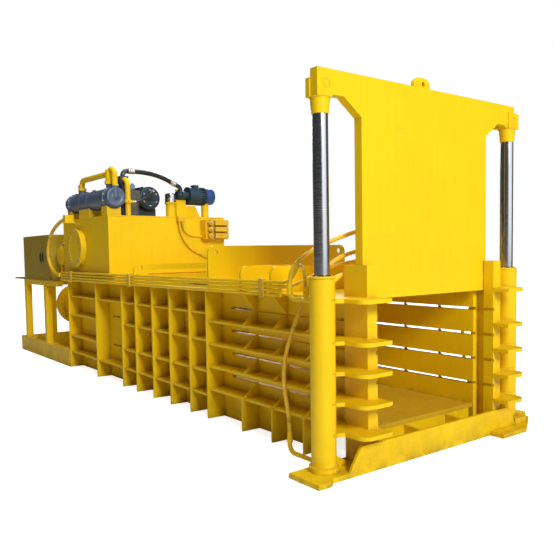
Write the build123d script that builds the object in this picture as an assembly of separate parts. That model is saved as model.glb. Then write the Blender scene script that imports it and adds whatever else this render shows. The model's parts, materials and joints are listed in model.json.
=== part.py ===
from build123d import *
import os
from math import cos, pi, radians, sin, tan

# Horizontal recycling baler with a lifting discharge gate, in millimetres.
# X is zero in the plane of the gate and the lift cylinders and runs towards the
# discharge end. Y is zero on the centre line, and minus Y is the near side.
# Z is zero on the floor.

# Bale chamber and its walls
CHAMBER_W = 1100.0
CHAMBER_H = 800.0
FLOOR_Z = 190.0
FLOOR_T = 30.0
LINER_T = 20.0
WALL_T = 20.0
RIB_DEPTH = 148.0
RIB_T = 16.0
RIB_TOP_RISE = 10.0
DECK_T = 12.0
ROOF_T = 22.0
LINER_Y = CHAMBER_W / 2
WALL_Y = LINER_Y + LINER_T
WALL_OUT = WALL_Y + WALL_T
RIB_OUT = WALL_OUT + RIB_DEPTH
ROOF_Z = FLOOR_Z + CHAMBER_H
DECK_Z = ROOF_Z + RIB_TOP_RISE
DECK_TOP = DECK_Z + DECK_T

# Lengths along the machine
GATE_SLOT = 70.0
JAMB_T = 42.0
JAMB_X = -GATE_SLOT / 2 - JAMB_T
SHEAR_X = -1535.0
CHARGE_BAYS = (268.0, 338.0, 324.0, 347.0)
CHARGE_X = SHEAR_X - sum(CHARGE_BAYS)
RAM_FACE = CHARGE_X
RAM_STROKE = 2100.0
APRON_X = RAM_FACE - RAM_STROKE
HOUSING_X = APRON_X + 314.0
REAR_BAYS = (310.0, 653.0, CHARGE_X - HOUSING_X - 963.0)
PRESS_BAYS = (475.0, 357.0)
STEP_X = -360.0
STEP_Z = 160.0

# Heights of the lengthwise ribs and the wire slots
RIB_FOOT = 42.0
RIB_HEAD = 54.0
RIB_PITCH = (CHAMBER_H - RIB_FOOT - RIB_HEAD) / 4
REAR_RIB_Z = (FLOOR_Z - 12.0, FLOOR_Z + 175.0, DECK_Z - 392.0, DECK_Z - 180.0)
PRESS_RIB_Z = tuple(FLOOR_Z + RIB_FOOT + i * RIB_PITCH for i in range(4))
SLOT_DROP = 72.0
SLOT_RISE = RIB_PITCH - SLOT_DROP
SLOT_H = 20.0
SLOT_REAR_X = -1400.0
SLOT_Z = tuple(z + SLOT_RISE for z in PRESS_RIB_Z)
GUSSET_H = SLOT_RISE + 1.0
HANGER_H = 150.0
PORT_HOLE_Z = (FLOOR_Z + 154.0, FLOOR_Z + 455.0)
PORT_HOLE_W = 184.0
PORT_HOLE_H = 14.0
PORT_HOLE_INSET = 193.0

# Cross frames over the deck
BULKHEAD_T = 16.0
FRONT_BULKHEAD_HALF = RIB_OUT - 23.0
FRONT_BULKHEAD_TOP = DECK_TOP + 328.0
CROSS_TOP = DECK_TOP + 178.0
REAR_STRIP_H = 50.0
CORNER_R = 60.0
LIFT_HOLE_R = 21.0
LIFT_HOLE_INSET = 69.0
LIFT_HOLE_DROP = 50.0

# Underframe and rear frame
RAIL_W = 80.0
RAIL_WEB = 8.0
RAIL_FLANGE = 10.0
FRAME_HALF = RIB_OUT + 7.0
FRAME_H = FLOOR_Z
FRAME_BEAM = 80.0

# Ram and main cylinder
SIDE_GAP = 4.0
SLIDE_GAP = 0.5
WELD_GAP = 0.5
SHEAR_GAP = 2.0
WEAR_T = 8.0
SHOE_Y = (-400.0, 0.0, 400.0)
SHOE_W = 120.0
SIDE_SHOE_W = 60.0
PLATEN_T = 60.0
RAM_PLATE = 25.0
GROOVE_DEPTH = 35.0
BLADE_W = 90.0
BLADE_T = 23.0
REAR_WALL_T = 40.0
RAM_CLEAR = 46.0
RAM_REAR = HOUSING_X + REAR_WALL_T + RAM_CLEAR
RAM_HALF = LINER_Y - SIDE_GAP - WEAR_T
RAM_Z = (FLOOR_Z + SLIDE_GAP + WEAR_T, ROOF_Z - BLADE_T - SHEAR_GAP)
BARREL_R = 200.0
BORE_R = 160.0
ROD_R = 100.0
CYL_Z = (FLOOR_Z + ROOF_Z) / 2 + 4.0
CAP_R = 280.0
CAP_T = 80.0
CYL_FRONT_X = HOUSING_X + 638.0
CAP_X = CYL_FRONT_X - RAM_STROKE - 340.0
COLLAR_L = 60.0
COLLAR_RISE = 25.0
ROD_FLANGE_R = 160.0
ROD_FLANGE_T = 50.0
GLAND_T = 60.0
PISTON_T = 130.0
PISTON_GAP = 20.0
FIT_GAP = 0.05
FLANGE_R = 300.0
FLANGE_T = 50.0
ROD_PLATE_X = CYL_FRONT_X + GLAND_T + 260.0
FRAME_REAR_X = CAP_X - 100.0

# Discharge end
POST_IN = LINER_Y + 17.0
POST_OUT = LINER_Y + 98.0
POST_BAR_T = 80.0
POST_SKIN = 43.0
POST_FRONT = GATE_SLOT / 2 + POST_BAR_T
JAMB_IN = LINER_Y
POST_TOP = DECK_TOP + 188.0
LIFT_Y = RIB_OUT + 152.0
FRONT_PLATE_Z = PRESS_RIB_Z + (DECK_Z,)
FRONT_PLATE_T = 24.0
FRONT_PLATE_X = 232.0
FRONT_PLATE_OUT = LIFT_Y - 105.0
FRONT_PLATE_REAR = -94.0
SADDLE_X = 28.0
SADDLE_RUN = 40.0
FRONT_PLATE_R = 70.0
FOOT_T = 30.0
FOOT_PAD_T = 35.0
FOOT_X = 168.0
FOOT_FAR_X = 238.0
FOOT_OUT = LIFT_Y + 187.0
FOOT_STEP_Y = (LIFT_Y + 50.0, LIFT_Y + 92.0)
FOOT_FAR_OUT = LIFT_Y + 185.0
FOOT_FAR_Y = LIFT_Y - 105.0
FOOT_FAR_CHAMFER_X = 75.0
PAD_REAR = -60.0
PAD_X = 60.0
PAD_OUT = LIFT_Y + 170.0
SILL_T = 19.0
SILL_X = POST_FRONT + SILL_T
SILL_TOP = 165.0
SILL_HALF_TOP = LIFT_Y - 169.0
SILL_HALF_BOTTOM = LIFT_Y - 79.0
SILL_HALF_FOOT = LINER_Y - 39.0
SILL_WEB_Y = (-155.0, 259.0)
SILL_WEB_DROP = 15.0
LEDGE_X = -45.0

# Lift cylinders and gate
LIFT_BARREL_R = 73.0
LIFT_BORE_R = 62.5
LIFT_ROD_R = 45.0
LIFT_TOP = DECK_TOP + 117.0
LIFT_GLAND_H = 60.0
LIFT_PISTON_H = 70.0
LIFT_PISTON_GAP = 10.0
LIFT_BASE_H = 40.0
LIFT_COLLAR_R = 88.0
LIFT_COLLAR_H = 30.0
LIFT_EAR_Y = LIFT_Y - 155.0
LIFT_EAR_T = 12.0
LIFT_EAR_LOW = 45.0
LIFT_EAR_RISE = 30.0
FOOT_GUSSET_L = 150.0
FOOT_GUSSET_H = 70.0
PORT_R = 14.0
PORT_NUT_R = 19.0
PORT_NUT_L = 26.0
UPPER_PORT_Z = DECK_Z + 3.0
UPPER_PORT_X = -295.0
UPPER_PORT_TOP = UPPER_PORT_Z + 57.0
UPPER_TEE_X = -146.0
LOWER_PORT_Z = 62.0
LOWER_PORT_X = -315.0
LOWER_PORT_TOP = LOWER_PORT_Z + 88.0
LOWER_TEE_X = -200.0
TEE_H = 44.0
GATE_T = 60.0
GATE_BOTTOM = ROOF_Z + 6.0
GATE_TOP = GATE_BOTTOM + 1298.0
GATE_GAP = 7.0
GATE_HALF = POST_OUT - POST_SKIN - GATE_GAP
CROSS_HALF = LIFT_Y + 43.0
CROSS_BOTTOM = GATE_TOP - 139.0
CROSS_DROP = 17.0
CROSS_DROP_Y = LIFT_Y - 75.0
CHAMFER = 137.0
CHAMFER_RISE = 100.0
END_BLOCK_T = 32.0
END_BLOCK_Y = (LIFT_Y - 100.0, LIFT_Y + 51.0)
END_BLOCK_TOP = GATE_TOP - 50.0
FAR_COVER_Y = (LIFT_Y - 39.0, LIFT_Y + 80.0)
FAR_COVER_Z = (CROSS_BOTTOM - CROSS_DROP, GATE_TOP - 49.0)
FAR_COVER_T = 12.0
BOSS_BOTTOM = CROSS_BOTTOM - 111.0
BOSS_DEPTH = 60.0
BOSS_TOP_R = 58.0
BOSS_BOTTOM_R = 48.5
EYE_Y = (-124.0, 28.0)
EYE_H = 67.0
EYE_T = 24.0
EYE_HOLE = (-35.0, 28.0)
EYE_R = 15.0

# Power unit
TANK_X = (HOUSING_X - 202.0, HOUSING_X + 1111.0)
TANK_HALF = RIB_OUT - 48.0
TANK_Z = (DECK_TOP + 68.0, DECK_TOP + 663.0)
TANK_WALL = 8.0
LID_T = 10.0
LID_Z = TANK_Z[1] + LID_T
TANK_FEET = (240.0, 1200.0)
TANK_FOOT_INSET = 60.0
FOOT_W = 90.0
COVER_X = TANK_X[1] - 806.0
COVER_Z = TANK_Z[0] + 285.0
COVER_R = 215.0
COVER_NECK = 50.0
COVER_NECK_R = 195.0
COVER_MOUTH_R = 175.0
COVER_DISH_R = 150.0
COVER_DISH = 5.0
COVER_T = 16.0
COVER_BOLTS = 16
COVER_BOLT_R = 10.0
COVER_BOLT_H = 8.0
COOLER_X = (TANK_X[0] + 100.0, TANK_X[1] + 28.0)
COOLER_Y = 82.0 - TANK_HALF
COOLER_Z = LID_Z + 183.0
COOLER_R = 100.0
COOLER_DOME = 60.0
COOLER_FLANGE_R = 112.0
COOLER_FLANGE_T = 14.0
COOLER_FEET = ((40.0, 150.0), (400.0, 700.0), (1041.0, 1181.0))
COOLER_FOOT_HALF = 75.0
NECK_X = (TANK_X[1] - 891.0, TANK_X[1] - 113.0)
NECK_R = 40.0
NECK_TOP = COOLER_Z + 137.0
NECK_FLANGE_H = 24.0
PIPE_R = 30.0
PIPE_COLLAR = 6.0
TEE_WALL = 14.0
TEE_FLANGE_H = 36.0
TEE_RISE = 50.0
OVER_BEND = 42.0
PIPE_RISE = 110.0
PIPE_TOP = NECK_TOP + PIPE_RISE
DOWN_X = TANK_X[1] + 7.0
DOWN_TOP = COOLER_Z + 114.0
FILTER_X = TANK_X[1] - 153.0
FILTER_R = 45.0
FILTER_GAP = 13.0
FILTER_Y = COOLER_Y + COOLER_R + FILTER_R + FILTER_GAP
FILTER_TOP = LID_Z + 335.0
FILTER_HEAD_H = 80.0
FILTER_FOOT = 12.0
RETURN_X = TANK_X[1] - 38.0
RETURN_R = 28.0
RETURN_BEND = 62.0
RETURN_CLAMP_Z = LID_Z + 145.0
RETURN_CLAMP_H = 35.0
CLAMP_RISE = 8.0
DRAIN_Y = FILTER_Y + 53.0
SUCTION_R = 24.0
SUCTION_ELBOW = 50.0
ELBOW_REACH = 60.0
SUCTION_Z = FILTER_TOP + FILTER_HEAD_H + 58.0
MOTOR_X = TANK_X[1] - 313.0
MOTOR_Y = -70.0
MOTOR_Z = LID_Z + 215.0
MOTOR_R = 125.0
MOTOR_L = 400.0
MOTOR_FINS = 16
MOTOR_BOX = 80.0
FIN_RISE = 12.0
FIN_T = 6.0
MOTOR_SHIELD_T = 20.0
MOTOR_SHIELD_STEP = 30.0
MOTOR_FOOT_HALF = 110.0
MOTOR_PORT_X = MOTOR_X + 45.0
MOTOR_PORT_Z = MOTOR_Z + 65.0
PUMP_Y = -269.0
PUMP_R = 62.0
PUMP_BODY_H = 250.0
MANIFOLD_STUB = 60.0
PUMP_TOP = LID_Z + 350.0
MOTOR2_X = TANK_X[1] - 257.0
MOTOR2_Y = (345.0, 690.0)
MOTOR2_Z = LID_Z + 250.0
MOTOR2_R = 92.0
MOTOR2_STEP = 10.0
MOTOR2_PORT_Y = 480.0
MOTOR2_PORT_TOP = MOTOR2_Z + 125.0
PUMP2_R = 50.0
PUMP2_L = 110.0
SUCTION_X = MOTOR2_X + 39.0
SUCTION_Y = 266.0
SUCTION_FALL = 28.0
SUCTION_END = (SUCTION_X, SUCTION_Y - 60.0, MOTOR2_Z + 115.0)
SUCTION_KNEE = (SUCTION_X, SUCTION_Y, SUCTION_END[2] - SUCTION_FALL)
BREATHER_X = TANK_X[1] - 213.0
BREATHER_Y = 135.0
BREATHER_R = 60.0
BREATHER_Z = LID_Z + 165.0
BREATHER_H = 100.0
BREATHER_CHAMFER = 12.0
WEB_Y = (225.0, 540.0)
WEB_TOP_W = 75.0
WEB_TOP_H = 68.0
PILLAR_Y = 600.0
PILLAR_R = 42.0
BLOCK_Y = (385.0, 680.0)
BLOCK_Z = (TANK_Z[1] - 235.0, TANK_Z[1] - 25.0)
BLOCK_T = 110.0
VALVE_SIZE = 50.0
JUNCTION_Y = (85.0, 170.0)
JUNCTION_Z = (TANK_Z[1] - 45.0, TANK_Z[1] + 5.0)
JUNCTION_T = 45.0
BLOCK_HOSE_X = TANK_X[1] + 25.0
BLOCK_HOSE_Y = (108.0, 145.0)
BLOCK_PORT_Z = BLOCK_Z[0] + 30.0
DECK_PORT_Y = 560.0
DECK_PORT_H = 45.0
PREFILL_X = TANK_X[0] - 160.0
PREFILL_Y = -TANK_HALF - 4.0
PREFILL_Z = TANK_Z[0] + 205.0
PREFILL_R = 105.0
PREFILL_RING_R = 155.0
PREFILL_CAP_R = 118.0
PREFILL_L = 214.0
PREFILL_RING_T = 26.0
PREFILL_CAP_T = 45.0
PREFILL_NECK_R = 75.0
PREFILL_PORT_Z = PREFILL_Z - PREFILL_CAP_R - 7.0
PILOT_PORT_Y = PREFILL_Y + PREFILL_CAP_T / 2
PILOT_PORT_R = 14.0
RETURN_BLOCK_X = (TANK_X[0] + 275.0, TANK_X[0] + 345.0)
RETURN_BLOCK_Y = -TANK_HALF - 55.0
RETURN_BLOCK_HALF = 45.0
RETURN_PORT_Z = LID_Z + 7.0
HANDLE_RISE = 60.0
HANDLE_OUT = 45.0
HANDLE_GAP = 3.0
HANDLE_STEM_R = 9.0
HANDLE_T = 7.0
HANDLE_W = 28.0
HANDLE_L = 95.0

# Control cabinet and its stand
SHELF_FRONT = APRON_X - 48.0
SHELF_X = (SHELF_FRONT - 1740.0, SHELF_FRONT)
SHELF_T = 19.0
SHELF_RISE = 10.0
CAB_X = (SHELF_FRONT - 1276.0, SHELF_FRONT - 230.0)
CAB_D = 400.0
CAB_Y = (-FRAME_HALF, CAB_D - FRAME_HALF)
CAB_H = 548.0
CAB_Z = (RAM_Z[1] + SHELF_RISE + SHELF_T, RAM_Z[1] + SHELF_RISE + SHELF_T + CAB_H)
CAB_SKIN = 4.0
DOOR_SPLIT_X = CAB_X[1] - 280.0
DOOR_T = 22.0
DOOR_GAP = 4.0
LEG = 75.0
LEG_SKIN = 5.0
LEG_X = (SHELF_FRONT - 1310.0, SHELF_FRONT - 495.0)
BAR_H = 60.0

# Pipe run on the near wall
RUN_R = 11.0
RUN_Y = -RIB_OUT - 14.0
RUN_Z = tuple(DECK_Z + 4.0 + i * 28.0 for i in range(4))
RUN_X = (HOUSING_X - 142.0, -560.0)
CLAMP_X = (HOUSING_X + 158.0, CHARGE_X - 83.0, -786.0)
CLAMP_W = 50.0
RUN_NUT_R = 13.0
RUN_NUT_L = 24.0
RUN_TAIL = 60.0
RUN_TAIL_R = 24.0

# Hoses
LIFT_HOSE_R = 13.0
FEED_HOSE_R = 10.0
DRAIN_HOSE_R = 12.0
REAR_HOSE_R = 20.0
PILOT_HOSE_R = 9.0
BLOCK_HOSE_R = 9.0
SETTLE_ROUNDS = 6
CROSSING_X = -153.0
CROSSING_Z = DECK_TOP + 435.0


def stations(start, bays, direction):
    """Return the places that the bays lead to, one after the other."""
    places = [start]
    for bay in bays:
        places.append(places[-1] + direction * bay)
    return places


def plate(xs, ys, zs):
    """A flat piece between two places along each axis."""
    middle = [(a + b) / 2 for a, b in (xs, ys, zs)]
    return Pos(*middle) * Box(xs[1] - xs[0], ys[1] - ys[0], zs[1] - zs[0])


def profile_x(points, xs):
    """A profile of (y, z) points, as long as xs says."""
    face = Plane.YZ.offset(xs[0]) * Polygon(*points)
    return extrude(face, amount=xs[1] - xs[0], dir=(1, 0, 0))


def profile_y(points, ys):
    """A profile of (x, z) points, as long as ys says."""
    face = Plane(origin=(0, ys[0], 0), x_dir=(1, 0, 0), z_dir=(0, -1, 0)) * Polygon(*points)
    return extrude(face, amount=ys[1] - ys[0], dir=(0, 1, 0))


def profile_z(points, zs):
    """A profile of (x, y) points, as high as zs says."""
    face = Plane.XY.offset(zs[0]) * Polygon(*points)
    return extrude(face, amount=zs[1] - zs[0], dir=(0, 0, 1))


def round_x(radius, xs, y, z):
    """A round bar along X."""
    return Pos((xs[0] + xs[1]) / 2, y, z) * Rot(0, 90, 0) * Cylinder(radius, xs[1] - xs[0])


def round_y(radius, ys, x, z):
    """A round bar along Y."""
    return Pos(x, (ys[0] + ys[1]) / 2, z) * Rot(90, 0, 0) * Cylinder(radius, ys[1] - ys[0])


def round_z(radius, zs, x, y):
    """A round bar along Z."""
    return Pos(x, y, (zs[0] + zs[1]) / 2) * Cylinder(radius, zs[1] - zs[0])


def near(shape):
    """The same piece on the near side."""
    return mirror(shape, about=Plane.XZ)


def both_sides(shape):
    """The piece and its mirror image, as two solids."""
    return Compound(children=[shape, near(shape)])


def group(solids):
    """Several solids that make one node."""
    return Compound(children=list(solids))


def wire_slots(ys, front):
    """The four wire slots, as long as the slotted stretch, to be cut from a wall."""
    return [plate((SLOT_REAR_X, front), ys, (z - SLOT_H / 2, z + SLOT_H / 2)) for z in SLOT_Z]


def side_wall():
    """Far side wall: plate, upright and lengthwise ribs, gussets and the deck strip."""
    rear = stations(CHARGE_X, REAR_BAYS, -1)
    charge = stations(SHEAR_X, CHARGE_BAYS, -1)
    columns = stations(SHEAR_X, PRESS_BAYS, 1)[1:] + [STEP_X - RIB_T / 2]
    wall = plate((HOUSING_X, JAMB_X), (WALL_Y, WALL_OUT), (0, DECK_Z))
    rib_y = (WALL_OUT, RIB_OUT)
    for x in sorted(set(rear + charge)):
        front = x if x == HOUSING_X else x - RIB_T / 2
        wall += plate((front, front + RIB_T), rib_y, (0, DECK_Z))
    for x in columns:
        wall += column(x)
    for z in REAR_RIB_Z:
        wall += rib_between(rear[-1], rear[-2], z)
        wall += rib_between(rear[1], SHEAR_X, z)
    for z in (REAR_RIB_Z[0], REAR_RIB_Z[-1]):
        wall += rib_between(rear[-2], rear[1], z)
    for z in PRESS_RIB_Z:
        wall += rib_between(SHEAR_X, FRONT_PLATE_REAR, z)
    wall += plate((HOUSING_X, FRONT_PLATE_REAR), (WALL_Y, RIB_OUT), (DECK_Z, DECK_TOP))
    wall -= plate((STEP_X, 0), (0, WALL_OUT), (-1, STEP_Z))
    wall -= wire_slots((WALL_Y - 1, WALL_OUT + 1), JAMB_X + 1)
    return wall


def near_side_wall():
    """Near side wall: the far one mirrored, with two short openings in its rear cell."""
    middle = stations(CHARGE_X, REAR_BAYS, -1)[2] + PORT_HOLE_INSET
    wall = near(side_wall())
    for z in PORT_HOLE_Z:
        xs = (middle - PORT_HOLE_W / 2, middle + PORT_HOLE_W / 2)
        wall -= plate(xs, (-WALL_OUT - 1, -WALL_Y + 1), (z - PORT_HOLE_H / 2, z + PORT_HOLE_H / 2))
    return wall


def column(x):
    """Cross stiffeners at one place: a short upright, then a gusset on each rib."""
    xs = (x - RIB_T / 2, x + RIB_T / 2)
    piece = plate(xs, (WALL_OUT, RIB_OUT), (0, PRESS_RIB_Z[0]))
    outer = RIB_OUT - RIB_T
    for z in PRESS_RIB_Z:
        top = z + RIB_T / 2
        piece += profile_x([(WALL_OUT, top), (outer, top), (WALL_OUT, top + GUSSET_H)], xs)
    hanger = [(WALL_OUT, DECK_Z), (outer, DECK_Z), (WALL_OUT, DECK_Z - HANGER_H)]
    return piece + profile_x(hanger, xs)


def rib_between(start, end, z):
    """One lengthwise rib."""
    return plate((start, end), (WALL_OUT, RIB_OUT - RIB_T), (z - RIB_T / 2, z + RIB_T / 2))


def wall_liners():
    """Wear liners inside both walls, with the wire slots."""
    liner = plate((HOUSING_X, JAMB_X), (LINER_Y, WALL_Y), (FLOOR_Z, ROOF_Z))
    liner -= wire_slots((LINER_Y - 1, WALL_Y + 1), JAMB_X + 1)
    return both_sides(liner)


def floor_plate():
    """Chamber floor, with the nose that ends in the ledge under the gate."""
    zs = (FLOOR_Z - FLOOR_T, FLOOR_Z)
    floor = plate((HOUSING_X, JAMB_X), (-WALL_Y, WALL_Y), zs)
    return floor + plate((JAMB_X, LEDGE_X), (-JAMB_IN, JAMB_IN), zs)


def underframe():
    """Two channels under the floor and the beams between them, as separate solids."""
    top = FLOOR_Z - FLOOR_T
    inner = WALL_Y - RAIL_W
    outline = [
        (WALL_Y, 0),
        (inner, 0),
        (inner, top),
        (WALL_Y, top),
        (WALL_Y, top - RAIL_FLANGE),
        (inner + RAIL_WEB, top - RAIL_FLANGE),
        (inner + RAIL_WEB, RAIL_FLANGE),
        (WALL_Y, RAIL_FLANGE),
    ]
    rail = profile_x(outline, (HOUSING_X, STEP_X))
    places = stations(CHARGE_X, REAR_BAYS, -1)[:-1]
    places += stations(SHEAR_X, CHARGE_BAYS[:-1], -1)
    places += stations(SHEAR_X, PRESS_BAYS, 1)[1:]
    beams = [plate((x - RIB_T, x + RIB_T), (-inner, inner), (0, top)) for x in places]
    return group([rail, near(rail)] + beams)


def roof_plates():
    """Roof over the bale chamber and roof over the ram's housing."""
    zs = (ROOF_Z, ROOF_Z + ROOF_T)
    front = plate((SHEAR_X, JAMB_X), (-WALL_Y, WALL_Y), zs)
    rear = plate((HOUSING_X, CHARGE_X), (-WALL_Y, WALL_Y), zs)
    return group([front, rear])


def cross_plate(x, half, top, radius, thickness=BULKHEAD_T):
    """An upright plate across the deck with rounded top corners."""
    upright = plate((x, x + thickness), (-half, half), (DECK_TOP, top))
    corners = upright.edges().filter_by(Axis.X).group_by(Axis.Z)[-1]
    return fillet(corners, radius)


def lifting_holes(half, top, xs):
    """Two holes near a cross plate's top corners, to be cut."""
    y = half - LIFT_HOLE_INSET
    z = top - LIFT_HOLE_DROP
    hole = round_x(LIFT_HOLE_R, xs, y, z)
    return [hole, near(hole)]


def roof_frames():
    """Front bulkhead of the charge opening and the two cross plates over the roof."""
    bulkhead = cross_plate(SHEAR_X, FRONT_BULKHEAD_HALF, FRONT_BULKHEAD_TOP, CORNER_R)
    reach = (SHEAR_X - 1, SHEAR_X + BULKHEAD_T + 1)
    bulkhead -= lifting_holes(FRONT_BULKHEAD_HALF, FRONT_BULKHEAD_TOP, reach)
    crossings = stations(SHEAR_X, PRESS_BAYS, 1)[1:]
    return group([bulkhead] + [cross_plate(x, RIB_OUT, CROSS_TOP, CORNER_R) for x in crossings])


def rear_bulkhead():
    """Frame behind the charge opening: two feet and a strip high over the roof."""
    xs = (CHARGE_X - BULKHEAD_T, CHARGE_X)
    frame = cross_plate(xs[0], RIB_OUT, CROSS_TOP, CORNER_R)
    frame -= plate((xs[0] - 1, xs[1] + 1), (-WALL_OUT, WALL_OUT), (0, CROSS_TOP - REAR_STRIP_H))
    return frame - lifting_holes(RIB_OUT, CROSS_TOP + LIFT_HOLE_R, (xs[0] - 1, xs[1] + 1))


def rear_wall():
    """End wall of the ram's housing, which carries the main cylinder's flange."""
    xs = (HOUSING_X, HOUSING_X + REAR_WALL_T)
    wall = plate(xs, (-LINER_Y, LINER_Y), (FLOOR_Z, RAM_Z[1] - 3 * RAM_PLATE))
    return wall - round_x(BARREL_R, (xs[0] - 1, xs[1] + 1), 0, CYL_Z)


def main_barrel():
    """Main cylinder's barrel with its end cap and mounting flange."""
    barrel = round_x(BARREL_R, (CAP_X, CYL_FRONT_X), 0, CYL_Z)
    barrel += round_x(CAP_R, (CAP_X, CAP_X + CAP_T), 0, CYL_Z)
    barrel += round_x(FLANGE_R, (HOUSING_X - FLANGE_T, HOUSING_X), 0, CYL_Z)
    barrel += round_x(BARREL_R + COLLAR_RISE, (CYL_FRONT_X - COLLAR_L, CYL_FRONT_X), 0, CYL_Z)
    barrel = barrel - round_x(BORE_R, (CAP_X + CAP_T, CYL_FRONT_X + 1), 0, CYL_Z)
    return barrel


def main_gland():
    """Gland that closes the main cylinder's front and guides its rod."""
    gland = round_x(BARREL_R + COLLAR_RISE, (CYL_FRONT_X, CYL_FRONT_X + GLAND_T), 0, CYL_Z)
    gland += round_x(BORE_R, (CYL_FRONT_X - GLAND_T, CYL_FRONT_X), 0, CYL_Z)
    reach = (CYL_FRONT_X - GLAND_T - 1, CYL_FRONT_X + GLAND_T + 1)
    return gland - round_x(ROD_R + FIT_GAP, reach, 0, CYL_Z)


def main_rod():
    """Main rod with its piston and the flange that bolts to the ram."""
    piston_x = CAP_X + CAP_T + PISTON_GAP
    rod = round_x(ROD_R, (piston_x, ROD_PLATE_X), 0, CYL_Z)
    rod += round_x(BORE_R - FIT_GAP, (piston_x, piston_x + PISTON_T), 0, CYL_Z)
    return rod + round_x(ROD_FLANGE_R, (ROD_PLATE_X - ROD_FLANGE_T, ROD_PLATE_X), 0, CYL_Z)


def platen():
    """Ram's face plate with a groove for each wire and the seat of the blade."""
    xs = (RAM_FACE - PLATEN_T, RAM_FACE)
    face = plate(xs, (-RAM_HALF, RAM_HALF), (RAM_Z[0], RAM_Z[1] - BLADE_T))
    for z in SLOT_Z:
        zs = (z - SLOT_H / 2, z + SLOT_H / 2)
        face -= plate((xs[1] - GROOVE_DEPTH, xs[1] + 1), (-RAM_HALF - 1, RAM_HALF + 1), zs)
    return face


def ram_body():
    """Ram's hollow body behind the platen, with the apron that shuts the opening."""
    xs = (RAM_REAR, RAM_FACE - PLATEN_T)
    low = RAM_Z[0]
    high = RAM_Z[1] - BLADE_T
    body = plate(xs, (-RAM_HALF, RAM_HALF), (low, high))
    inner = RAM_HALF - RAM_PLATE
    body -= plate((xs[0] - 1, ROD_PLATE_X), (-inner, inner), (low + RAM_PLATE, high - RAM_PLATE))
    cell = (ROD_PLATE_X + RAM_PLATE * 2, xs[1])
    for ys in ((-inner, -RAM_PLATE / 2), (RAM_PLATE / 2, inner)):
        body -= plate(cell, ys, (low + RAM_PLATE, high - RAM_PLATE))
    apron = plate((RAM_FACE - RAM_STROKE, RAM_FACE - BLADE_W), (-RAM_HALF, RAM_HALF), (high, RAM_Z[1]))
    return body + apron


def wear_strips():
    """Strips that the ram slides on: three below and two on each side."""
    xs = (RAM_REAR, RAM_FACE)
    low = RAM_Z[0]
    half = SHOE_W / 2
    strips = [plate(xs, (y - half, y + half), (low - WEAR_T, low)) for y in SHOE_Y]
    for z in (low + SIDE_SHOE_W, RAM_Z[1] - BLADE_T - 3 * SIDE_SHOE_W):
        strip = plate(xs, (RAM_HALF, RAM_HALF + WEAR_T), (z - SIDE_SHOE_W / 2, z + SIDE_SHOE_W / 2))
        strips += [strip, near(strip)]
    return group(strips)


def blade(xs, half, zs):
    """A shear blade: a bar whose cutting edge is left sharp."""
    return plate(xs, (-half, half), zs)


def guide_post():
    """Far guide post: front bar, outer plate and rear jamb round the gate's slot."""
    front = POST_FRONT
    slot = GATE_SLOT / 2
    outline = [
        (JAMB_X, JAMB_IN),
        (-slot, JAMB_IN),
        (-slot, POST_OUT - POST_SKIN),
        (slot, POST_OUT - POST_SKIN),
        (slot, POST_IN),
        (front, POST_IN),
        (front, POST_OUT),
        (JAMB_X, POST_OUT),
    ]
    post = profile_z(outline, (FOOT_T, POST_TOP))
    for z in SLOT_Z:
        groove = plate((JAMB_X - 1, front + 1), (0, POST_IN + 12), (z - SLOT_H / 2, z + SLOT_H / 2))
        post -= groove
    return post


def front_plate_outline():
    """Outline of a far front plate: round the post, then up to the lift barrel."""
    return [
        (POST_FRONT, POST_IN),
        (FRONT_PLATE_X, POST_IN),
        (FRONT_PLATE_X, FRONT_PLATE_OUT),
        (SADDLE_X + SADDLE_RUN, FRONT_PLATE_OUT),
        (SADDLE_X, LIFT_Y),
        (-SADDLE_X, LIFT_Y),
        (FRONT_PLATE_REAR, FRONT_PLATE_OUT),
        (FRONT_PLATE_REAR, POST_OUT),
        (POST_FRONT, POST_OUT),
    ]


def front_plates():
    """Five far front plates, as separate solids."""
    plates = []
    for z in FRONT_PLATE_Z:
        zs = (z - FRONT_PLATE_T / 2, z + FRONT_PLATE_T / 2)
        piece = profile_z(front_plate_outline(), zs)
        uprights = piece.edges().filter_by(Axis.Z)
        outer = uprights.filter_by_position(Axis.X, FRONT_PLATE_X - 1, FRONT_PLATE_X + 1)
        piece = fillet(outer.sort_by(Axis.Y)[-1], FRONT_PLATE_R)
        piece -= round_z(LIFT_BARREL_R + WELD_GAP, (zs[0] - 1, zs[1] + 1), 0, LIFT_Y)
        plates.append(piece)
    return plates


def front_sill():
    """Sill under the gate: slanted front plate, bottom plate and two stiffeners."""
    front = [
        (-SILL_HALF_BOTTOM, FOOT_T),
        (SILL_HALF_BOTTOM, FOOT_T),
        (SILL_HALF_TOP, SILL_TOP),
        (-SILL_HALF_TOP, SILL_TOP),
    ]
    sill = profile_x(front, (SILL_X - SILL_T, SILL_X))
    sill += plate((JAMB_X, SILL_X), (-SILL_HALF_FOOT, SILL_HALF_FOOT), (0, FOOT_T))
    back_z = FLOOR_Z - FLOOR_T
    sill += plate((LEDGE_X - SILL_T, LEDGE_X), (-SILL_HALF_FOOT, SILL_HALF_FOOT), (FOOT_T, back_z))
    inner_x = SILL_X - SILL_T
    web = [(LEDGE_X, FOOT_T), (inner_x, FOOT_T), (inner_x, SILL_TOP - SILL_WEB_DROP), (LEDGE_X, back_z)]
    for y in SILL_WEB_Y:
        sill += profile_y(web, (y - RIB_T / 2, y + RIB_T / 2))
    return sill


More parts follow.
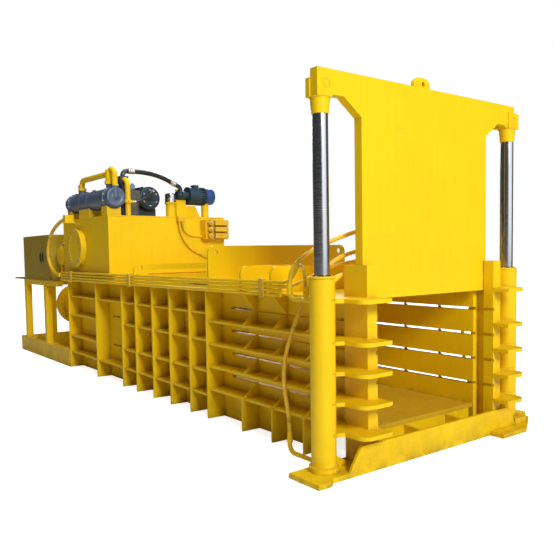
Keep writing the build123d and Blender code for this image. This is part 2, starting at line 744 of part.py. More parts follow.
def foot_plates():
    """Foot plates under the lift cylinders: the near one is plain, the far one has a pad."""
    near_outline = [
        (FRONT_PLATE_REAR, -FOOT_OUT),
        (FOOT_X, -FOOT_OUT),
        (FOOT_X, -FOOT_STEP_Y[1]),
        (SILL_X, -FOOT_STEP_Y[0]),
        (SILL_X, -SILL_HALF_FOOT),
        (FRONT_PLATE_REAR, -SILL_HALF_FOOT),
    ]
    far_outline = [
        (FRONT_PLATE_REAR, SILL_HALF_FOOT),
        (FOOT_FAR_X, SILL_HALF_FOOT),
        (FOOT_FAR_X, FOOT_FAR_Y),
        (FOOT_FAR_CHAMFER_X, FOOT_FAR_OUT),
        (FRONT_PLATE_REAR, FOOT_FAR_OUT),
    ]
    pad_outline = [
        (PAD_REAR, SILL_HALF_BOTTOM),
        (SILL_X, SILL_HALF_BOTTOM),
        (SILL_X, FOOT_STEP_Y[0]),
        (PAD_X, PAD_OUT),
        (PAD_REAR, PAD_OUT),
    ]
    far = profile_z(far_outline, (0, FOOT_T))
    pad = profile_z(pad_outline, (FOOT_T, FOOT_T + FOOT_PAD_T))
    far += pad - round_z(LIFT_COLLAR_R, (0, FOOT_T + FOOT_PAD_T + 1), 0, LIFT_Y)
    return group([profile_z(near_outline, (0, FOOT_T)) + near(foot_gusset()), far])


def foot_gusset():
    """Upright gusset between the lift cylinder's collar and the post."""
    foot = LIFT_Y - LIFT_COLLAR_R - 1
    outline = [
        (foot, FOOT_T),
        (foot - FOOT_GUSSET_L / 2, FOOT_T),
        (foot - FOOT_GUSSET_L / 2, FOOT_T + FOOT_GUSSET_H / 3),
        (foot, FOOT_T + FOOT_GUSSET_H),
    ]
    return profile_x(outline, (-LIFT_EAR_T / 2, LIFT_EAR_T / 2))


def port_tube(z, bend_x, top):
    """Steel tube from a lift cylinder's port to its hose."""
    y = LIFT_Y
    route = [(-LIFT_BORE_R - 4, y, z), (bend_x, y, z), (bend_x, y, top)]
    tube = bent_tube(route, [3.5 * PORT_R], PORT_R)
    tube += round_x(PORT_NUT_R, (-LIFT_BARREL_R - PORT_NUT_L, -LIFT_BARREL_R + 4), y, z)
    return tube + round_z(PORT_NUT_R, (top - PORT_NUT_L, top), bend_x, y)


def lift_barrel(tee_x, tee_z):
    """Far lift cylinder's barrel: collar, ear at the top and two port tubes, one with a tee."""
    y = LIFT_Y
    barrel = round_z(LIFT_BARREL_R, (FOOT_T, LIFT_TOP), 0, y)
    barrel += round_z(LIFT_COLLAR_R, (FOOT_T, FOOT_T + LIFT_COLLAR_H), 0, y)
    ear = [
        (y - LIFT_BORE_R - 4, LIFT_TOP),
        (LIFT_EAR_Y, LIFT_TOP + LIFT_EAR_RISE),
        (LIFT_EAR_Y, LIFT_TOP + LIFT_EAR_RISE / 2),
        (y - LIFT_BORE_R - 4, LIFT_TOP - LIFT_EAR_LOW),
    ]
    barrel += profile_x(ear, (-LIFT_EAR_T / 2, LIFT_EAR_T / 2))
    barrel += port_tube(UPPER_PORT_Z, UPPER_PORT_X, UPPER_PORT_TOP)
    barrel += port_tube(LOWER_PORT_Z, LOWER_PORT_X, LOWER_PORT_TOP)
    barrel += round_z(PORT_R, (tee_z, tee_z + TEE_H), tee_x, y)
    return barrel - round_z(LIFT_BORE_R, (FOOT_T + LIFT_BASE_H, LIFT_TOP + 1), 0, y)


def lift_gland():
    """Far lift cylinder's gland, inside the top of the barrel."""
    gland = round_z(LIFT_BORE_R, (LIFT_TOP - LIFT_GLAND_H, LIFT_TOP), 0, LIFT_Y)
    return gland - round_z(LIFT_ROD_R + FIT_GAP, (LIFT_TOP - LIFT_GLAND_H - 1, LIFT_TOP + 1), 0, LIFT_Y)


def lift_rod():
    """Far lift rod with its piston."""
    low = LIFT_TOP - LIFT_GLAND_H - LIFT_PISTON_H - LIFT_PISTON_GAP
    rod = round_z(LIFT_ROD_R, (low, BOSS_BOTTOM + BOSS_DEPTH), 0, LIFT_Y)
    return rod + round_z(LIFT_BORE_R - FIT_GAP, (low, low + LIFT_PISTON_H), 0, LIFT_Y)


def rod_boss():
    """Far rod boss: a tapered socket welded under the gate's crosshead."""
    height = CROSS_BOTTOM - CROSS_DROP - BOSS_BOTTOM
    cone = Pos(0, LIFT_Y, BOSS_BOTTOM + height / 2) * Cone(BOSS_BOTTOM_R, BOSS_TOP_R, height)
    return cone - round_z(LIFT_ROD_R, (BOSS_BOTTOM - 1, BOSS_BOTTOM + BOSS_DEPTH), 0, LIFT_Y)


def gate():
    """Gate: one thick T-shaped plate with end blocks and the lifting eye."""
    half = GATE_HALF
    right = [
        (half, GATE_BOTTOM),
        (half, CROSS_BOTTOM - CHAMFER_RISE),
        (half + CHAMFER, CROSS_BOTTOM),
        (CROSS_DROP_Y, CROSS_BOTTOM),
        (CROSS_DROP_Y + CROSS_DROP, CROSS_BOTTOM - CROSS_DROP),
        (CROSS_HALF, CROSS_BOTTOM - CROSS_DROP),
        (CROSS_HALF, GATE_TOP),
    ]
    left = [(-y, z) for y, z in reversed(right)]
    xs = (-GATE_T / 2, GATE_T / 2)
    panel = profile_x(right + left, xs)
    block = plate((xs[0] - END_BLOCK_T, xs[0]), END_BLOCK_Y, (CROSS_BOTTOM - CROSS_DROP, END_BLOCK_TOP))
    panel += [block, near(block)]
    panel += plate((xs[1], xs[1] + FAR_COVER_T), FAR_COVER_Y, FAR_COVER_Z)
    eye = plate((-EYE_T / 2, EYE_T / 2), EYE_Y, (GATE_TOP, GATE_TOP + EYE_H))
    eye = fillet(eye.edges().filter_by(Axis.X).group_by(Axis.Z)[-1], EYE_H * 0.7)
    eye -= round_x(EYE_R, (-EYE_T, EYE_T), EYE_HOLE[0], GATE_TOP + EYE_HOLE[1])
    return panel + eye


def rear_frame():
    """Frame behind the housing: two rails and the cross beams, as separate solids."""
    zs = (0, FRAME_H)
    rail = plate((FRAME_REAR_X + FRAME_BEAM, HOUSING_X), (FRAME_HALF - FRAME_BEAM, FRAME_HALF), zs)
    tail = plate((FRAME_REAR_X, FRAME_REAR_X + FRAME_BEAM), (-FRAME_HALF, FRAME_HALF), zs)
    inner = FRAME_HALF - FRAME_BEAM
    beams = [plate((x, x + LEG), (-inner, inner), zs) for x in LEG_X]
    beams.append(plate((HOUSING_X - FRAME_BEAM, HOUSING_X), (-inner, inner), zs))
    return group([rail, near(rail), tail] + beams)


def oil_tank():
    """Oil tank's open shell: cover neck, two feet and the rear return hose's block."""
    ys = (-TANK_HALF, TANK_HALF)
    tank = plate(TANK_X, ys, TANK_Z)
    tank += round_y(COVER_NECK_R, (-TANK_HALF - COVER_NECK, 0), COVER_X, COVER_Z)
    wall = TANK_WALL
    inside = (TANK_X[0] + wall, TANK_X[1] - wall)
    tank -= plate(inside, (-TANK_HALF + wall, TANK_HALF - wall), (TANK_Z[0] + wall, TANK_Z[1] + 1))
    tank -= round_y(COVER_MOUTH_R, (-TANK_HALF - COVER_NECK - 1, -TANK_HALF + wall + 1), COVER_X, COVER_Z)
    half = TANK_HALF - TANK_FOOT_INSET
    block_y = (RETURN_BLOCK_Y - RETURN_BLOCK_HALF, -TANK_HALF)
    block_z = (RETURN_PORT_Z - RETURN_BLOCK_HALF, RETURN_PORT_Z + RETURN_BLOCK_HALF)
    tank += plate(RETURN_BLOCK_X, block_y, block_z)
    for offset in TANK_FEET:
        x = TANK_X[0] + offset
        tank += plate((x, x + FOOT_W), (-half, half), (DECK_TOP, TANK_Z[0]))
    return tank


def tank_lid():
    """Oil tank's top plate."""
    return plate(TANK_X, (-TANK_HALF, TANK_HALF), (TANK_Z[1], LID_Z))


def inspection_cover():
    """Round cover on the tank's near side, with a raised rim."""
    y = -TANK_HALF - COVER_NECK
    cover = round_y(COVER_R, (y - COVER_T, y), COVER_X, COVER_Z)
    return cover - round_y(COVER_DISH_R, (y - COVER_T - 1, y - COVER_T + COVER_DISH), COVER_X, COVER_Z)


def cover_bolts():
    """Bolt heads round the inspection cover."""
    y = -TANK_HALF - COVER_NECK - COVER_T
    circle = (COVER_R + COVER_DISH_R) / 2
    bolts = []
    for i in range(COVER_BOLTS):
        turn = 2 * pi * i / COVER_BOLTS
        centre = (COVER_X + circle * cos(turn), y, COVER_Z + circle * sin(turn))
        head = Plane(origin=centre, z_dir=(0, -1, 0)) * RegularPolygon(COVER_BOLT_R, 6)
        bolts.append(extrude(head, amount=COVER_BOLT_H, dir=(0, -1, 0)))
    return group(bolts)


def cooler():
    """Shell cooler: barrel, domed end, two flange pairs, three necks and its saddles."""
    left, right = COOLER_X
    dome = COOLER_DOME
    shell = round_x(COOLER_R, (left + dome, right), COOLER_Y, COOLER_Z)
    cap = Pos(left + dome, COOLER_Y, COOLER_Z) * Sphere(COOLER_R)
    reach = 2 * COOLER_R
    around = ((COOLER_Y - reach, COOLER_Y + reach), (COOLER_Z - reach, COOLER_Z + reach))
    shell += cap & plate((left, left + dome), *around)
    for x in (left + 2 * dome, right - 2 * dome):
        shell += round_x(COOLER_FLANGE_R, (x, x + 2 * COOLER_FLANGE_T), COOLER_Y, COOLER_Z)
    for x in NECK_X:
        shell += round_z(NECK_R, (COOLER_Z, NECK_TOP), x, COOLER_Y)
    shell += round_z(PIPE_R + PIPE_COLLAR, (COOLER_Z, DOWN_TOP), DOWN_X, COOLER_Y)
    half = COOLER_FOOT_HALF
    for start, end in COOLER_FEET:
        xs = (left + start, left + end)
        foot = plate(xs, (COOLER_Y - half, COOLER_Y + half), (LID_Z, COOLER_Z))
        shell += foot - round_x(COOLER_R - TANK_WALL, (left, right), COOLER_Y, COOLER_Z)
    return shell


def tube_path(points, radii):
    """Straight runs joined by tangent arcs."""
    return FilletPolyline(*points, radius=radii)


def bent_tube(points, radii, radius):
    """A round tube swept along runs and arcs."""
    path = tube_path(points, radii)
    start = Plane(origin=path @ 0, z_dir=path % 0)
    return sweep(start * Circle(radius), path=path)


def cooler_pipes():
    """Steel pipes over the cooler: two flanges, a tee and the bend back to the cooler."""
    a, b = NECK_X
    y = COOLER_Y
    bend = 2 * PIPE_R
    flow = bent_tube([(a, y, NECK_TOP), (a, y, PIPE_TOP), (b, y, PIPE_TOP)], [bend], PIPE_R)
    top = PIPE_TOP + TEE_RISE
    over = [(b, y, PIPE_TOP - PIPE_R), (b, y, top), (DOWN_X, y, top - PIPE_R), (DOWN_X, y, DOWN_TOP)]
    back = bent_tube(over, [OVER_BEND, OVER_BEND], PIPE_R - 1)
    body = round_z(PIPE_R + TEE_WALL, (NECK_TOP, PIPE_TOP + PIPE_R + PIPE_COLLAR), b, y) + flow + back
    body += round_z(NECK_R + TEE_WALL, (NECK_TOP, NECK_TOP + TEE_FLANGE_H), b, y)
    return body + round_z(NECK_R + PIPE_COLLAR, (NECK_TOP, NECK_TOP + NECK_FLANGE_H), a, y)


def between(start, end, share):
    """The point that lies a share of the way from one point to another."""
    return tuple(a + (b - a) * share for a, b in zip(start, end))


def gap_length(start, end):
    """The distance between two points."""
    return sum((b - a) ** 2 for a, b in zip(start, end)) ** 0.5


def curve_points(anchors, leave, arrive, steps=16):
    """Points close together on a smooth curve through the anchors."""
    spans = [gap_length(a, b) for a, b in zip(anchors, anchors[1:])]
    slopes = [tuple(c * spans[0] for c in leave)]
    for before, after in zip(anchors, anchors[2:]):
        slopes.append(tuple((b - a) / 2 for a, b in zip(before, after)))
    slopes.append(tuple(c * spans[-1] for c in arrive))
    found = []
    for i in range(len(spans)):
        for step in range(steps):
            t = step / steps
            weights = (2 * t**3 - 3 * t**2 + 1, t**3 - 2 * t**2 + t, 3 * t**2 - 2 * t**3, t**3 - t**2)
            values = zip(anchors[i], slopes[i], anchors[i + 1], slopes[i + 1])
            found.append(tuple(sum(w * v for w, v in zip(weights, four)) for four in values))
    return found + [anchors[-1]]


def spaced(dense, runs):
    """Corners of runs that are all equally long, measured along close points."""
    step = sum(gap_length(a, b) for a, b in zip(dense, dense[1:])) / runs
    corners = [dense[0]]
    done = 0.0
    for a, b in zip(dense, dense[1:]):
        length = gap_length(a, b)
        while len(corners) < runs and done + length >= step * len(corners):
            corners.append(between(a, b, (step * len(corners) - done) / length))
        done += length
    return corners + [dense[-1]], step


def straight_ends(corners, leave, arrive, step):
    """Set the first and the last run along the fittings' axes."""
    corners[1] = tuple(c + d * step for c, d in zip(corners[0], leave))
    corners[-2] = tuple(c - d * step for c, d in zip(corners[-1], arrive))


def hose_route(anchors, leave, arrive, runs):
    """Corners of a hose's runs: it leaves and arrives straight and settles to even bends."""
    corners, step = spaced(curve_points(anchors, leave, arrive), runs)
    straight_ends(corners, leave, arrive, step)
    for _ in range(SETTLE_ROUNDS):
        for i in range(2, runs - 1):
            four = zip(corners[i - 2], corners[i - 1], corners[i + 1], corners[i + 2])
            corners[i] = tuple((4 * b + 4 * c - a - d) / 6 for a, b, c, d in four)
        corners, step = spaced(corners, runs)
        straight_ends(corners, leave, arrive, step)
    return corners


def hose(name, route, radius):
    """A free hose: each arc is as large as its two runs allow."""
    points = hose_route(*route)
    vectors = [Vector(*p) for p in points]
    radii = []
    for before, here, after in zip(vectors, vectors[1:], vectors[2:]):
        turn = (here - before).get_angle(after - here)
        shorter = min((here - before).length, (after - here).length)
        radii.append(0.45 * shorter / tan(radians(turn) / 2))
    solid = bent_tube(points, radii, radius)
    length = tube_path(points, radii).length
    ratio = solid.volume / (pi * radius**2 * length)
    runs = [(b - a).length for a, b in zip(vectors, vectors[1:])]
    print(f"{name}: length {length:.0f} runs {min(runs):.0f}-{max(runs):.0f}", end=" ")
    print(f"smallest bend {min(radii) / (2 * radius):.1f} diameters, volume ratio {ratio:.4f}")
    return solid


def return_pipe():
    """Return pipe beside the cooler, from the filter's head down into the lid."""
    y = FILTER_Y
    level = FILTER_TOP + FILTER_HEAD_H / 2
    points = [(FILTER_X + FILTER_R, y, level), (RETURN_X, y, level), (RETURN_X, y, LID_Z)]
    pipe = bent_tube(points, [RETURN_BEND], RETURN_R)
    half = RETURN_CLAMP_H / 2
    pipe += round_z(RETURN_R + CLAMP_RISE, (RETURN_CLAMP_Z - half, RETURN_CLAMP_Z + half), RETURN_X, y)
    return pipe + round_y(DRAIN_HOSE_R, (y, DRAIN_Y), RETURN_X, RETURN_CLAMP_Z)


def oil_filter():
    """Upright filter behind the cooler's front end, with the elbow for the suction hose."""
    x = FILTER_X
    y = FILTER_Y
    body = round_z(FILTER_R, (LID_Z, FILTER_TOP), x, y)
    body += round_z(FILTER_R + FILTER_FOOT, (LID_Z, LID_Z + COVER_T), x, y)
    half = FILTER_R
    top = FILTER_TOP + FILTER_HEAD_H
    body += plate((x - half, x + half), (y - half, y + half), (FILTER_TOP, top))
    route = [(x, y, top - COVER_T), (x, y, SUCTION_Z), (x, y + ELBOW_REACH, SUCTION_Z)]
    return body + bent_tube(route, [SUCTION_ELBOW], SUCTION_R)


def main_motor():
    """Main motor, lying along X: finned body, end shield with a drain port, and foot."""
    front = MOTOR_X
    rear = front - MOTOR_L
    body = round_x(MOTOR_R, (rear, front), MOTOR_Y, MOTOR_Z)
    middle = (rear + front - MOTOR_BOX) / 2
    for i in range(MOTOR_FINS):
        turn = 2 * pi * (i + 0.5) / MOTOR_FINS
        place = Pos(middle, MOTOR_Y + MOTOR_R * cos(turn), MOTOR_Z + MOTOR_R * sin(turn))
        body += place * Rot(turn * 180 / pi, 0, 0) * Box(MOTOR_L - 1.5 * MOTOR_BOX, 2 * FIN_RISE, FIN_T)
    body += round_x(MOTOR_R - MOTOR_SHIELD_STEP, (front, front + MOTOR_SHIELD_T), MOTOR_Y, MOTOR_Z)
    half = MOTOR_FOOT_HALF
    foot = (MOTOR_Y - half, MOTOR_Y + half)
    body += plate((rear + MOTOR_BOX, front - MOTOR_BOX), foot, (LID_Z, MOTOR_Z - MOTOR_R + MOTOR_SHIELD_T))
    return body + round_x(DRAIN_HOSE_R, (front, MOTOR_PORT_X), MOTOR_Y, MOTOR_PORT_Z)


def hydraulic_pump():
    """Pump and its manifold beside the main motor."""
    x = MOTOR_X
    y = PUMP_Y
    manifold = LID_Z + PUMP_BODY_H
    body = round_z(PUMP_R, (LID_Z, manifold), x, y)
    body += round_z(PUMP_R + FILTER_FOOT, (LID_Z, LID_Z + COVER_T), x, y)
    half = PUMP_R - FILTER_FOOT
    cap = PUMP_TOP - MANIFOLD_STUB
    body += plate((x - half, x + half), (y - PUMP_R, y + PUMP_R), (manifold - PUMP_R, cap))
    return body + round_z(NECK_R / 2, (cap, PUMP_TOP), x, y)


def second_motor():
    """Small motor across the tank, with its pump and the pump's suction elbow."""
    low, high = MOTOR2_Y
    x = MOTOR2_X
    z = MOTOR2_Z
    split = (low + high) / 2
    step = MOTOR2_STEP
    outline = [
        (0, low - PUMP2_L),
        (PUMP2_R, low - PUMP2_L),
        (PUMP2_R, low + 2 * step),
        (MOTOR2_R + step, low + 2 * step),
        (MOTOR2_R + step, split),
        (MOTOR2_R, split),
        (MOTOR2_R, high - 2 * step),
        (MOTOR2_R - 2 * step, high),
        (0, high),
    ]
    body = Pos(x, 0, z) * revolve(Plane.XY * Polygon(*outline, align=None), axis=Axis.Y)
    half = NECK_R
    port_y = (MOTOR2_PORT_Y - half, MOTOR2_PORT_Y + half / 2)
    body += plate((x - half, x + half), port_y, (z, MOTOR2_PORT_TOP))
    drop = PUMP2_R - 4 * step
    end = SUCTION_END
    route = [end, (SUCTION_X, SUCTION_Y, end[2] - SUCTION_FALL), (SUCTION_X, SUCTION_Y, z - drop)]
    return body + bent_tube(route, [SUCTION_ELBOW], SUCTION_R)


def breather():
    """Breather: a chromed filter bowl with a chamfered top."""
    bowl = round_z(BREATHER_R, (BREATHER_Z, BREATHER_Z + BREATHER_H), BREATHER_X, BREATHER_Y)
    return chamfer(bowl.edges().group_by(Axis.Z)[-1], BREATHER_CHAMFER)


def breather_neck():
    """Neck under the breather, with its flange."""
    flange = BREATHER_Z - COOLER_FLANGE_T
    neck = round_z(BREATHER_R - PIPE_COLLAR, (LID_Z, flange), BREATHER_X, BREATHER_Y)
    return neck + round_z(BREATHER_R + PIPE_COLLAR, (flange, BREATHER_Z), BREATHER_X, BREATHER_Y)


def motor_brackets():
    """Brackets that carry the second motor: a slotted web and a round pillar."""
    x = MOTOR2_X
    z = MOTOR2_Z
    rear, front = WEB_Y
    middle = rear + WEB_TOP_W
    web = [
        (rear, LID_Z),
        (front, LID_Z),
        (front - WEB_TOP_W, z - MOTOR2_R - 2 * MOTOR2_STEP),
        (middle + WEB_TOP_W / 2, z - MOTOR2_R + WEB_TOP_W),
        (middle, z + WEB_TOP_H),
        (rear, z + WEB_TOP_H),
    ]
    half = MOTOR2_STEP
    bracket = profile_x(web, (x - half, x + half))
    bracket -= round_y(PUMP2_R + WELD_GAP, (rear - 1, front), x, z)
    bracket -= round_y(MOTOR2_R + 2 * MOTOR2_STEP, (MOTOR2_Y[0], MOTOR2_Y[1]), x, z)
    bracket += plate((x - WEB_TOP_W, x + WEB_TOP_W), WEB_Y, (LID_Z, LID_Z + LID_T))
    pillar = round_z(PILLAR_R, (LID_Z, z), x, PILLAR_Y)
    pillar -= round_y(MOTOR2_R, MOTOR2_Y, x, z)
    return group([bracket, pillar])


def valve_block():
    """Control block on the tank's front with three valves, and the small junction block."""
    x = TANK_X[1]
    front = x + BLOCK_T
    block = plate((x, front), BLOCK_Y, BLOCK_Z)
    rise = (BLOCK_Z[1] - BLOCK_Z[0]) / 3
    half = VALVE_SIZE / 2
    slide_y = (BLOCK_Y[0] + 2 * VALVE_SIZE, BLOCK_Y[1] - half)
    for i in range(3):
        z = BLOCK_Z[0] + rise * (i + 0.5)
        block += round_x(half, (front, front + VALVE_SIZE), BLOCK_Y[0] + VALVE_SIZE, z)
        block += plate((front, front + VALVE_SIZE), slide_y, (z - half, z + half))
    fitting = round_z(PORT_NUT_R, (DECK_TOP, DECK_TOP + DECK_PORT_H), BLOCK_HOSE_X, DECK_PORT_Y)
    return group([block, plate((x, x + JUNCTION_T), JUNCTION_Y, JUNCTION_Z), fitting])


def prefill_valve():
    """Prefill valve at the tank's rear end: flanged body with a chamfered cap."""
    y = PREFILL_Y
    x = PREFILL_X
    z = PREFILL_Z
    body = round_y(PREFILL_R, (y + PREFILL_CAP_T, y + PREFILL_L), x, z)
    body += round_y(PREFILL_RING_R, (y + PREFILL_CAP_T, y + PREFILL_CAP_T + PREFILL_RING_T), x, z)
    cap = round_y(PREFILL_CAP_R, (y, y + PREFILL_CAP_T), x, z)
    body += chamfer(cap.edges().group_by(Axis.Y)[0], PREFILL_CAP_T / 2)
    middle = y + (PREFILL_CAP_T + PREFILL_L) / 2
    body += round_x(PREFILL_NECK_R, (x, TANK_X[0]), middle, z)
    return body + round_z(PILOT_PORT_R, (PREFILL_PORT_Z, z), x, PILOT_PORT_Y)


def valve_handle():
    """Lever of the cooler's stop valve, on its stem."""
    x = NECK_X[0] - PIPE_R
    z = NECK_TOP + HANDLE_RISE
    half = HANDLE_W / 2
    stem = round_x(HANDLE_STEM_R, (x - HANDLE_OUT, x - HANDLE_GAP), COOLER_Y, z)
    blade_x = (x - HANDLE_OUT - HANDLE_T, x - HANDLE_OUT)
    return stem + plate(blade_x, (COOLER_Y - half, COOLER_Y + half), (z - HANDLE_L, z + half))


def cabinet():
    """Control cabinet: an open-fronted box on a long shelf plate."""
    shell = plate(CAB_X, (CAB_Y[0] + DOOR_T, CAB_Y[1]), CAB_Z)
    skin = CAB_SKIN
    inside = (CAB_X[0] + skin, CAB_X[1] - skin)
    shell -= plate(inside, (CAB_Y[0] + DOOR_T - 1, CAB_Y[1] - skin), (CAB_Z[0] + skin, CAB_Z[1] - skin))
    shelf = plate(SHELF_X, CAB_Y, (CAB_Z[0] - SHELF_T, CAB_Z[0]))
    return shell + shelf


def cabinet_door(xs):
    """A pan-shaped cabinet door that closes on the cabinet's front edge."""
    ys = (CAB_Y[0], CAB_Y[0] + DOOR_T - 1)
    zs = (CAB_Z[0] + DOOR_GAP, CAB_Z[1] - DOOR_GAP)
    door = plate(xs, ys, zs)
    edge = CAB_SKIN
    inside = plate((xs[0] + edge, xs[1] - edge), (ys[0] + edge, ys[1] + 1), (zs[0] + edge, zs[1] - edge))
    return door - inside


def cabinet_stand():
    """Four square legs and the bars under the cabinet, as separate solids."""
    top = CAB_Z[0] - SHELF_T
    solids = []
    for x in LEG_X:
        for y in (CAB_Y[0], CAB_Y[1] - LEG):
            leg = plate((x, x + LEG), (y, y + LEG), (FRAME_H, top))
            skin = LEG_SKIN
            leg -= plate((x + skin, x + LEG - skin), (y + skin, y + LEG - skin), (FRAME_H - 1, top + 1))
            solids.append(leg)
        solids.append(plate((x, x + LEG), (CAB_Y[0] + LEG, CAB_Y[1] - LEG), (top - BAR_H, top)))
    for y in (CAB_Y[0], CAB_Y[1] - LEG):
        bar_x = (LEG_X[0] + LEG, LEG_X[1])
        solids.append(plate(bar_x, (y, y + LEG), (top - BAR_H, top)))
        solids.append(plate((LEG_X[1] + LEG, SHELF_X[1]), (y, y + LEG), (top - BAR_H, top)))
    return group(solids)


def side_pipes():
    """Steel pipes along the near wall, with a nut at each end."""
    pipes = []
    for i, z in enumerate(RUN_Z):
        rear = RUN_X[0] - (RUN_TAIL if i == 2 else 0)
        pipe = round_x(RUN_R, (rear, RUN_X[1]), RUN_Y, z)
        pipe += round_x(RUN_NUT_R, (RUN_X[1] - RUN_NUT_L, RUN_X[1]), RUN_Y, z)
        pipe += round_x(RUN_TAIL_R if i == 2 else RUN_NUT_R, (rear, rear + RUN_NUT_L), RUN_Y, z)
        pipes.append(pipe)
    return group(pipes)


def pipe_clamps():
    """Clamps that hold the pipes to the deck's edge."""
    edge = RUN_R + CLAMP_RISE
    clamps = []
    for x in CLAMP_X:
        block = plate((x, x + CLAMP_W), (RUN_Y - edge, -RIB_OUT), (RUN_Z[0] - edge, RUN_Z[-1] + edge))
        block -= [round_x(RUN_R, (x - 1, x + CLAMP_W + 1), RUN_Y, z) for z in RUN_Z]
        clamps.append(block)
    return group(clamps)


UP = (0, 0, 1)
DOWN = (0, 0, -1)
FORWARD = (1, 0, 0)
BACKWARD = (-1, 0, 0)
TO_FAR = (0, 1, 0)
TO_NEAR = (0, -1, 0)
KNEE_LENGTH = gap_length(SUCTION_END, SUCTION_KNEE)
SUCTION_ARRIVE = tuple((b - a) / KNEE_LENGTH for a, b in zip(SUCTION_END, SUCTION_KNEE))


def mirrored(half_way):
    """Anchors of a hose that crosses over to the same places on the far side."""
    return half_way + [(x, -y, z) for x, y, z in reversed(half_way)]


